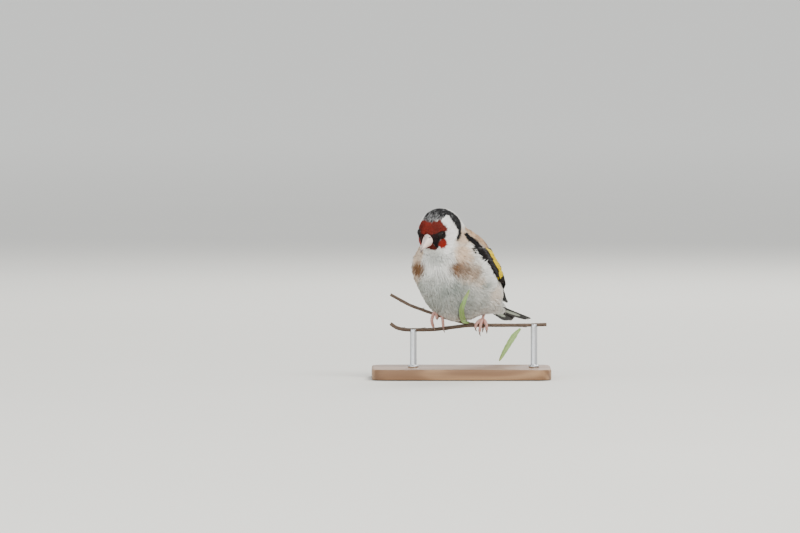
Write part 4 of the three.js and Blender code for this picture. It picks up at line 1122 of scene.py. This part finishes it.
def vane_material(name, tail=False):
    """Black flight feathers with a shaft, barbs at a slant and their pale or golden marks."""
    net = new_material(name, Roughness=0.5, Specular_IOR_Level=0.06)
    across, reach, tint = net.attribute("across"), net.attribute("reach"), net.attribute("tint")
    off_shaft = across.work("ABSOLUTE")
    shaft = 1 - off_shaft.rise(0.03, 0.085)
    fine = net.noise(net.place, 1500, 2) - 0.5
    barbs = ((reach - off_shaft * 2.6) * 14 + fine * 3).work("SINE")
    worn = (net.noise(net.place, 260, 3) * 0.7 + tint * 0.5).clamp()
    ground = net.blend(worn, (0.004, 0.004, 0.005), (0.013, 0.010, 0.009))
    ground = net.blend(off_shaft.rise(0.80, 1.1) * 0.2, ground, (0.06, 0.042, 0.03))
    if tail:
        ground = net.blend((net.attribute("pale") + fine * 0.9).rise(-0.3, 0.3), ground, (0.36, 0.40, 0.33))
    else:
        gold = (net.attribute("gold") + fine * 1.2).rise(-0.25, 0.25)
        ground = net.blend(gold, ground, net.blend(worn, GOLD, AMBER))
    ground = net.blend((net.attribute("white") + fine * 1.2).rise(-0.25, 0.25), ground, SNOW)
    ground = net.blend(shaft * 0.6, ground, (0.035, 0.026, 0.022))
    relief = barbs * 0.25 + shaft * 2.0
    return shade(net, Base_Color=ground, Roughness=0.45 + 0.18 * worn, Normal=net.bump(relief, 0.5, 0.00012))


# Bill and eyes

NOSTRIL = (3.9, 1.75)  # ahead of the bill's base and above it


def mouth_line(t):
    return BILL["base"][2] - 0.75 - 1.35 * (BILL["length"] * t / (BILL["length"] - 1)) ** 1.6


def bill_half(upper):
    """One half of the bill, as vertices, faces and attributes: rings of an arc and a floor along it."""
    rings, arc, floor = 40, 30, 8
    vertices, along, ridge = [], [], []
    f0, _, u0 = BILL["base"]
    end = 1.0 if upper else 0.93
    for t in np.linspace(0, end, rings):
        ahead = f0 + BILL["length"] * t
        middle = u0 - 0.25 - 0.9 * t * t
        wide = BILL["wide"] * max(0.045, 1 - t**1.25) * (1 if upper else 0.965)
        high = BILL["high"] * max(0.035, 1 - t**1.12) * (1 if upper else 0.985)
        cut = mouth_line(t) - (0 if upper else 0.13)
        lowest = math.asin(max(-1, min(1, (cut - middle) / high)))
        turn = np.linspace(lowest, math.pi - lowest, arc)
        if not upper:
            turn = np.linspace(math.pi - lowest, 2 * math.pi + lowest, arc)
        left, rise = wide * np.cos(turn), middle + high * np.sin(turn)
        if upper:
            rise = rise + 0.05 * high * np.exp(-(((turn - math.pi / 2) / 0.22) ** 2))
            dent = ((ahead - f0 - NOSTRIL[0]) / 0.55) ** 2 + ((rise - u0 - NOSTRIL[1]) / 0.42) ** 2
            left = left * (1 - 0.14 * np.exp(-dent))
        inner = np.linspace(left[-1], left[0], floor + 2)[1:-1]
        arch = (0.16 if upper else -0.16) * (1 - (2 * inner / max(1e-6, abs(left[0]) * 2)) ** 2)
        left = np.concatenate([left, inner])
        rise = np.concatenate([rise, np.full(floor, cut) + arch * (high / BILL["high"])])
        vertices.append(HEAD.at(np.stack([np.full(len(left), ahead), left, rise], -1)))
        along += [t] * len(left)
        ridge += list((rise - middle) / high)
    vertices.append(np.array([vertices[0].mean(0), vertices[-1].mean(0)]))
    vertices = np.vstack(vertices)
    away = HEAD.into(vertices) - BILL["base"]
    reach = np.hypot((away[:, 0] - NOSTRIL[0]) / 0.5, (away[:, 2] - NOSTRIL[1]) / 0.36)
    # Painted shade in the nostril's opening, round its dent.
    nostril_shade = 1 - smooth(0.7, 1.2, reach) if upper else np.zeros(len(vertices))
    marks = {"along": along + [0, end], "ridge": ridge + [0, 0], "nostril_shade": nostril_shade}
    return vertices, loft_faces(rings, arc + floor), marks


def build_bill():
    net = new_material("bill horn", Roughness=0.34, Specular_IOR_Level=0.45, Subsurface_Weight=0.12,
                       Subsurface_Radius=(1.0, 0.5, 0.3), Subsurface_Scale=0.0012)
    along, ridge = net.attribute("along"), net.attribute("ridge")
    grain = net.noise(net.place, 420, 4)
    streak = net.noise(net.stretched(net.place, (900, 900, 250)), 1.0, 3)
    horn = net.blend((streak * 1.2 - 0.2).clamp(), (0.62, 0.46, 0.42), (0.78, 0.65, 0.58))
    horn = net.blend((ridge.rise(0.80, 1.02) * 0.55 * (0.4 + grain)).clamp(), horn, (0.16, 0.14, 0.14))
    horn = net.blend((along + (grain - 0.5) * 0.2).rise(0.72, 0.98) * 0.75, horn, (0.085, 0.075, 0.08))
    # Painted shade: the nostril's opening darkened.
    horn = net.blend(net.attribute("nostril_shade"), horn, (0.03, 0.02, 0.02))
    finish = shade(net, Base_Color=horn, Roughness=0.28 + 0.22 * grain,
                   Normal=net.bump(streak + grain * 0.5, 0.35, 0.00015))
    for name in ("upper", "lower"):
        vertices, faces, marks = bill_half(name == "upper")
        add_piece("bill_horn_" + name, vertices, faces, finish, "bill", "bill_" + name, **marks)


LID = {"over": 0.66, "under": 0.72, "corner": 0.84}  # how far the lids are open, as angles
# The lids in section: how far each corner is from their opening, as an angle, and over the eyeball.
LID_SECTION = [(0.0, -0.08), (0.0, 0.08), (0.03, 0.13), (0.09, 0.13), (0.2, 0.08), (0.4, 0.04), (0.7, -0.12)]


def eye_axes(sign):
    """The ways out of an eye, level ahead and over it."""
    out = unit(sign * HEAD.left + EYE["forward"] * HEAD.forward)
    level = unit(HEAD.forward - out * (HEAD.forward @ out))
    return out, level, np.cross(out, level)


def lid_ring(centre, out, level, over, count):
    """Vertices and faces of the lids round one eye, section by section."""
    ring, n = [], len(LID_SECTION)
    for angle in full_turn(count):
        opening = LID["over"] if math.sin(angle) > 0 else LID["under"]
        opening = math.hypot(math.cos(angle) * LID["corner"], math.sin(angle) * opening)
        round_way = math.cos(angle) * level + math.sin(angle) * over
        for step, rise in LID_SECTION:
            bend = opening + step
            wrinkle = 0.03 * math.sin(17 * angle + 9 * step) * (rise > 0.1)
            way = math.cos(bend) * out + math.sin(bend) * round_way
            ring.append(centre + (EYE["radius"] + rise + wrinkle) * way)
    faces = [(k * n + j, (k + 1) % count * n + j, (k + 1) % count * n + (j + 1) % n, k * n + (j + 1) % n)
             for k in range(count) for j in range(n)]
    return np.array(ring), faces


def build_eyes():
    net = new_material("eye", Roughness=0.06, Coat_Weight=0.1, Coat_Roughness=0.02, Specular_IOR_Level=0.12)
    iris = net.blend(net.noise(net.place, 2600, 3), (0.006, 0.003, 0.002), (0.014, 0.006, 0.003))
    pupil = net.attribute("gaze").rise(0.80, 0.83)
    ball = shade(net, Base_Color=net.blend(pupil, iris, (0.001, 0.001, 0.001)))
    net = new_material("eyelid skin", Roughness=0.7, Specular_IOR_Level=0.15)
    patchy = net.noise(net.place, 1500, 3)
    lid = shade(net, Base_Color=net.blend(patchy, (0.003, 0.003, 0.003), (0.014, 0.011, 0.010)),
                Normal=net.bump(net.noise(net.place, 5000, 2), 0.6, 0.0001))
    rings, sides = 26, 40
    for side, sign in SIDES:
        centre, axes = eye_centre(sign), eye_axes(sign)
        ways = ball_ways(rings, sides, 0.06, *axes)
        gaze = ways @ axes[0]
        cornea = 1 + 0.03 * smooth(0.75, 0.95, gaze)
        vertices = centre + ways * (EYE["radius"] * cornea)[:, None]
        add_piece("eyeball_" + side, vertices, loft_faces(rings, sides), ball, "eye", "eye_" + side, gaze=gaze)
        add_piece("eyelids_" + side, *lid_ring(centre, *axes, 56), lid, "plumage_head")


# Legs, feet and claws

def sawtooth(x):
    return 1 - (x - np.floor(x))


def leg_material():
    net = new_material("leg skin", Roughness=0.48, Specular_IOR_Level=0.4, Subsurface_Weight=0.2,
                       Subsurface_Radius=(1.0, 0.4, 0.25), Subsurface_Scale=0.001)
    along = net.attribute("scale")
    cells = net.add("ShaderNodeTexVoronoi", {"feature": "DISTANCE_TO_EDGE"},
                    {"Vector": net.place, "Scale": 3200}, "Distance")
    patchy = net.noise(net.place, 500, 3)
    skin = net.blend(patchy, (0.36, 0.17, 0.14), (0.60, 0.36, 0.30))
    skin = net.blend((1 - along.rise(0.0, 0.22)) * 0.7, skin, (0.17, 0.075, 0.06))
    return shade(net, Base_Color=skin, Roughness=0.38 + 0.25 * patchy,
                 Normal=net.bump(cells.rise(0.0, 0.3) + along, 0.5, 0.00012))


def shank_radius(t, angle):
    radius = mix(SHANK["ankle"], SHANK["radius"], min(1, t * 2.4))
    front = np.clip(np.sin(angle), 0, 1)
    return radius * (0.97 + 0.08 * front * sawtooth(t * SHANK["scutes"]))


def toe_radius(t, angle):
    radius = mix(TOE["radius"], TOE["tip"], t)
    top, sole = np.clip(np.sin(angle), 0, 1), np.clip(-np.sin(angle), 0, 1)
    pads = 0.22 * sole * math.sin(3 * math.pi * t) ** 2
    return radius * (1.02 + 0.11 * top * sawtooth(t * TOE["scales"]) + pads)


def claw_radius(t, angle):
    return mix(CLAW["radius"], CLAW["tip"], t**1.2)


def build_legs():
    skin = leg_material()
    net = new_material("claw horn", Roughness=0.3, Specular_IOR_Level=0.5)
    streak = net.noise(net.place, 900, 3)
    horn = shade(net, Base_Color=net.blend(streak, (0.11, 0.07, 0.06), (0.33, 0.22, 0.19)),
                 Normal=net.bump(streak, 0.3, 0.0001))
    stem = curve(from_perch(STEM["line"]), 200)
    for leg in LEGS:
        side = leg["name"]
        ankle, joint = from_perch([leg["ankle"], leg["joint"]])
        vertices, faces = tube([ankle, (ankle + joint) / 2, joint], shank_radius, 24, 90, BODY.forward)
        add_piece("scuted_shank_" + side, vertices, faces, skin, "leg", "tarsus_" + side,
                  scale=along_tube(24, 90) * SHANK["scutes"] % 1)

        ball = joint + ball_ways(16, 24, 0.05, (0, 0, 1), (1, 0, 0), (0, 1, 0)) * (1.05, 1.05, 0.98)
        toes = [from_perch(line) for line in leg["toes"]]
        parts = [tube(toe, toe_radius, 20, 80, unit(toe[1] - stem).mean(0)) for toe in toes]
        scale = [along_tube(20, 80) * TOE["scales"] % 1] * len(parts) + [np.full(len(ball), 0.5)]
        vertices, faces = join(parts + [(ball, loft_faces(16, 24))])
        add_piece("scaled_foot_" + side, vertices, faces, skin, "leg", "foot_" + side,
                  scale=np.concatenate(scale))

        claws = join([tube(from_perch(line), claw_radius, 16, 40) for line in leg["claws"]])
        add_piece("curved_claws_" + side, *claws, horn, "claw", *[f"claw_{side}_{i}" for i in range(1, 5)])


# Stems, leaves and stand

def stem_material():
    net = new_material("dry stem bark", Roughness=0.8, Specular_IOR_Level=0.25)
    along, turn = net.attribute("along"), net.attribute("turn")
    unrolled = net.add("ShaderNodeCombineXYZ", None, {"X": turn * 4.5, "Y": along * 22, "Z": 0.0})
    ridges = net.noise(unrolled, 2.2, 4)
    blotch = net.noise(net.place, 160, 3)
    bark = net.blend(ridges.rise(0.3, 0.7), (0.040, 0.026, 0.019), (0.175, 0.122, 0.086))
    bark = net.blend(blotch.rise(0.45, 0.75) * 0.6, bark, (0.080, 0.056, 0.040))
    cut = net.attribute("cut")
    bark = net.blend(cut, bark, net.blend(blotch, (0.50, 0.38, 0.24), (0.62, 0.50, 0.34)))
    return shade(net, Base_Color=bark, Normal=net.bump(ridges + blotch * 0.3, 0.7, 0.0003))


# Knots of the stems: how far along, and the angle round the stem of the bud that sits on each.
KNOTS = {"stem": [(0.09, 0.9), (0.22, 1.4), (0.36, 4.0), (0.55, 2.2), (0.86, 5.0)],
         "twig": [(0.14, 5.2), (0.40, 1.0), (0.66, 3.6)]}


def bark_tube(name, stem, rings, sides):
    """The ridged stem itself: vertices, faces and attributes."""
    wave = np.random.default_rng(len(name)).uniform(0, ALL_ROUND, 4)

    def radius(t, angle):
        swell = sum(0.13 * np.exp(-(((t - k) / 0.012) ** 2)) * (1 + 0.8 * np.cos(angle - a))
                    for k, a in KNOTS[name])
        ribs = 0.035 * np.cos(6 * angle + 5 * t + wave[0]) + 0.02 * np.cos(11 * angle - 9 * t + wave[1])
        uneven = 0.02 * np.sin(47 * t + wave[2]) + 0.015 * np.sin(123 * t + wave[3])
        return stem["radius"] * (0.985 + swell + ribs + uneven)

    vertices, faces = tube(from_perch(stem["line"]), radius, sides, rings)
    return vertices, faces, {"along": along_tube(sides, rings),
                             "turn": np.append(np.tile(full_turn(sides), rings), (0, 0)),
                             "cut": np.append(np.zeros(rings * sides), (1, 1))}


def bud_at(spot, k, a):
    """A small bud on a knot."""
    way = unit(np.array([0.4, math.cos(a), math.sin(a)]))
    line = [spot + way * 0.35, spot + way * 1.0 + (0.15, 0, 0), spot + way * 1.35 + (0.5, 0, 0.05)]
    vertices, faces = tube(line, lambda t, _: 0.30 * (1 - 0.75 * t), 10, 12)
    count = len(vertices)
    return vertices, faces, {"along": np.full(count, k), "turn": np.tile(full_turn(10), 13)[:count],
                             "cut": np.zeros(count)}


def build_stems():
    bark = stem_material()
    for name, stem in (("stem", STEM), ("twig", TWIG)):
        centre = curve(from_perch(stem["line"]), 400)
        made = [bark_tube(name, stem, 260, 30)] + [bud_at(centre[int(k * 399)], k, a) for k, a in KNOTS[name]]
        add_piece("bark_" + name, *join([part[:2] for part in made]), bark, "stem", "perch_" + name,
                  **together([part[2] for part in made]))


def leaf_sheet(leaf, steps, columns):
    """A wavy leaf along its rib: vertices, faces and attributes."""
    line = curve(from_perch(leaf["rib"]), steps + 1)
    tangent = unit(np.gradient(line, axis=0))
    side = unit(np.cross(tangent, np.array(leaf["facing"], float)))
    over = unit(np.cross(side, tangent))

    def place(along, across, face):
        k = np.round(along * steps).astype(int)
        half = leaf["width"] / 2 * np.minimum(1, 0.35 + 2.6 * along) * np.sqrt(np.maximum(0.03, 1 - along**3))
        wavy = 1 + 0.035 * np.sin(42 * along + 2 * across)
        lift = 0.35 * across**2 + 0.10 * np.sin(23 * along + across) * across**2
        lift = lift - 0.1 * np.exp(-((across / 0.12) ** 2)) + face * mix(0.17, 0.09, across**2)
        return line[k] + side[k] * (across * half * wavy)[:, None] + over[k] * lift[:, None]

    vertices, faces, along, across = vane_sheet(place, steps, columns)
    length = np.linalg.norm(np.diff(line, axis=0), axis=1).sum()
    return vertices, faces, {"along": along, "across": across, "reach": along * length}


def build_leaves():
    net = new_material("leaf", Roughness=0.5, Specular_IOR_Level=0.4, Subsurface_Weight=0.15,
                       Subsurface_Radius=(0.3, 1.0, 0.2), Subsurface_Scale=0.001)
    off_rib = net.attribute("across").work("ABSOLUTE")
    rib = 1 - off_rib.rise(0.04, 0.14)
    veins = ((net.attribute("reach") - off_rib * 1.6) * 5.5).work("SINE").rise(0.86, 1.0)
    patchy = net.noise(net.place, 350, 4)
    green = net.blend(patchy, (0.16, 0.27, 0.075), (0.30, 0.42, 0.16))
    green = net.blend((rib * 0.75 + veins * 0.22).clamp(), green, (0.42, 0.52, 0.22))
    green = net.blend((patchy * net.attribute("along")).rise(0.42, 0.62) * 0.5, green, (0.42, 0.34, 0.10))
    finish = shade(net, Base_Color=green, Roughness=0.4 + 0.25 * patchy,
                   Normal=net.bump(1 - veins * 0.6 - rib, 0.4, 0.0002))
    for i, leaf in enumerate(LEAVES, 1):
        vertices, faces, marks = leaf_sheet(leaf, 60, 14)
        add_piece(f"veined_leaf_{i}", vertices, faces, finish, "leaf", f"perch_leaf_{i}", **marks)


def wood_material():
    net = new_material("oiled wood", Roughness=0.42, Specular_IOR_Level=0.4)
    warp = net.noise(net.stretched(net.place, (10, 60, 60)), 1.0, 2)
    depth = net.add("ShaderNodeSeparateXYZ", None, {"Vector": net.place}, out="Y")
    rings = ((depth + warp * 0.03) * 900).work("SINE")
    grain = net.noise(net.stretched(net.place, (14, 260, 260)), 1.0, 5, 0.6)
    wood = net.blend(rings.rise(-1.0, 1.0), (0.20, 0.105, 0.050), (0.33, 0.19, 0.095))
    wood = net.blend((grain * 1.4 - 0.4).clamp(), wood, (0.12, 0.060, 0.030))
    return shade(net, Base_Color=wood, Roughness=0.34 + 0.22 * grain, Normal=net.bump(grain, 0.25, 0.0002))


def build_base():
    bevel, thick, corner = BASE["bevel"], BASE["thick"], BASE["corner"]
    profile = [(1.1, 0.0), (0.35, 0.0), (0.08, 0.12), (0.0, 0.4)]
    profile += [(bevel * (1 - math.cos(a)), thick - bevel + bevel * math.sin(a))
                for a in np.linspace(0, math.pi / 2, 7)]
    profile += [(1.1, thick), (1.4, thick)]
    rows, steps = [], 16
    for inset, z in profile:
        for sx, sy, start in ((1, 1, 0), (-1, 1, 90), (-1, -1, 180), (1, -1, 270)):
            turn = np.radians(start + np.linspace(0, 90, steps))
            x = sx * (BASE["width"] / 2 - corner) + (corner - inset) * np.cos(turn)
            y = sy * (BASE["depth"] / 2 - corner) + (corner - inset) * np.sin(turn)
            rows.append(np.stack([x, y, np.full(steps, z)], -1))
    vertices = np.vstack(rows + [[(0, 0, 0), (0, 0, thick)]])
    faces = loft_faces(len(profile), 4 * steps)
    add_piece("wood_base", vertices, faces, wood_material(), "stand_wood", "stand_base")


def build_rods():
    net = new_material("brushed steel", Metallic=1.0)
    brushed = net.noise(net.stretched(net.place, (4000, 4000, 90)), 1.0, 3)
    steel = shade(net, Base_Color=net.blend(brushed, (0.50, 0.51, 0.52), (0.64, 0.65, 0.66)),
                  Roughness=0.24 + 0.18 * brushed, Normal=net.bump(brushed, 0.15, 0.0001))
    path = curve(from_perch(STEM["line"]), 401)
    low, r, turn = BASE["thick"], ROD["radius"], full_turn(48)
    for i, x in enumerate(ROD["xs"], 1):
        spot = path[np.argmin(np.abs(path[:, 0] - PERCH[0] - x))]
        top = spot[2] + ROD["over_middle"]
        profile = [(0.2, low - 0.1), (r + 0.9, low - 0.1), (r + 0.9, low + 0.9), (r + 0.7, low + 1.15),
                   (r + 0.05, low + 1.2), (r, low + 1.5), (r, top - 1.5), (r, top - 0.25), (r - 0.2, top)]
        rings = [np.stack([spot[0] + radius * np.cos(turn), spot[1] + radius * np.sin(turn),
                           np.full(len(turn), z)], -1) for radius, z in profile]
        vertices = np.vstack(rings + [[(spot[0], spot[1], low - 0.1), (spot[0], spot[1], top)]])
        add_piece(f"steel_rod_{i}", vertices, loft_faces(len(profile), len(turn)), steel,
                  "stand_metal", f"stand_rod_{i}")


# Scene

def build_view():
    camera = new_object("camera", bpy.data.cameras.new("camera"))
    camera.data.lens = LENS
    camera.data.sensor_width = SENSOR
    camera.data.clip_end = 50
    tilt = math.radians(VIEW_ELEVATION)
    back = np.array([0, -math.cos(tilt), math.sin(tilt)])
    camera.location = Vector((VIEW_CENTRE + back * VIEW_DISTANCE) * MM)
    camera.rotation_euler = (math.radians(90) - tilt, 0, 0)
    bpy.context.scene.camera = camera


FLOOR = {"z": -0.3, "radii": (300, 3000, 60000)}  # just under the base
LIGHTS_AIM = (0, 0, 0.05)  # in metres, as are the lights' places and sizes


def area_light(name, place, size, power, colour):
    lamp = bpy.data.lights.new(name, "AREA")
    lamp.shape = "DISK"
    lamp.size = size
    lamp.energy = power
    lamp.color = colour
    root_shade_and_tint_grey = new_object(name, lamp)
    root_shade_and_tint_grey.location = place
    root_shade_and_tint_grey.rotation_euler = (Vector(LIGHTS_AIM) - Vector(place)).to_track_quat("-Z", "Y").to_euler()


def build_stage():
    net = new_material("stage paper", Roughness=0.9)
    cloud = net.noise(net.place, 3.0, 3)
    far = net.add("ShaderNodeVectorMath", {"operation": "LENGTH"}, {0: net.place}).rise(0.5, 6.0)
    near = net.blend(cloud, (0.62, 0.61, 0.56), (0.66, 0.65, 0.60))
    paper = shade(net, Base_Color=net.blend(far, near, (0.92, 0.91, 0.85)))
    sides, turn = 64, full_turn(64)
    rings = [np.stack([r * np.cos(turn), r * np.sin(turn), np.full(sides, FLOOR["z"])], -1)
             for r in FLOOR["radii"]]
    faces = [tuple(range(sides))]
    for i in range(len(rings) - 1):
        for j in range(sides):
            a, b = i * sides + j, i * sides + (j + 1) % sides
            faces.append((a, a + sides, b + sides, b))
    mesh_object("floor", np.vstack(rings), faces, paper)
    area_light("key", (0.7, -0.9, 1.3), 0.9, 33, (1.0, 0.98, 0.94))
    area_light("fill", (-1.2, -1.0, 0.6), 1.4, 11, (0.92, 0.97, 1.0))
    area_light("low", (-0.1, -1.7, 0.25), 1.2, 9, (1.0, 0.99, 0.97))
    area_light("rim", (0.3, 1.2, 1.0), 0.9, 18, (1.0, 0.99, 0.96))
    world = bpy.data.worlds.new("studio")
    world.use_nodes = True
    world.node_tree.nodes["Background"].inputs["Color"].default_value = (0.95, 0.97, 1.0, 1)
    world.node_tree.nodes["Background"].inputs["Strength"].default_value = 1.0
    bpy.context.scene.world = world


build_view()
build_stage()
plumage = plumage_material()
skin, skin_vertices, skin_quads, skin_marks = build_skin(plumage)
build_coat(skin, skin_vertices, skin_quads, skin_marks, plumage)
wing_finish = vane_material("wing feather")
for side_name, side_sign in SIDES:
    build_wing(side_name, side_sign, wing_finish)
build_tail(vane_material("tail feather", tail=True))
build_bill()
build_eyes()
build_legs()
build_stems()
build_leaves()
build_base()
build_rods()
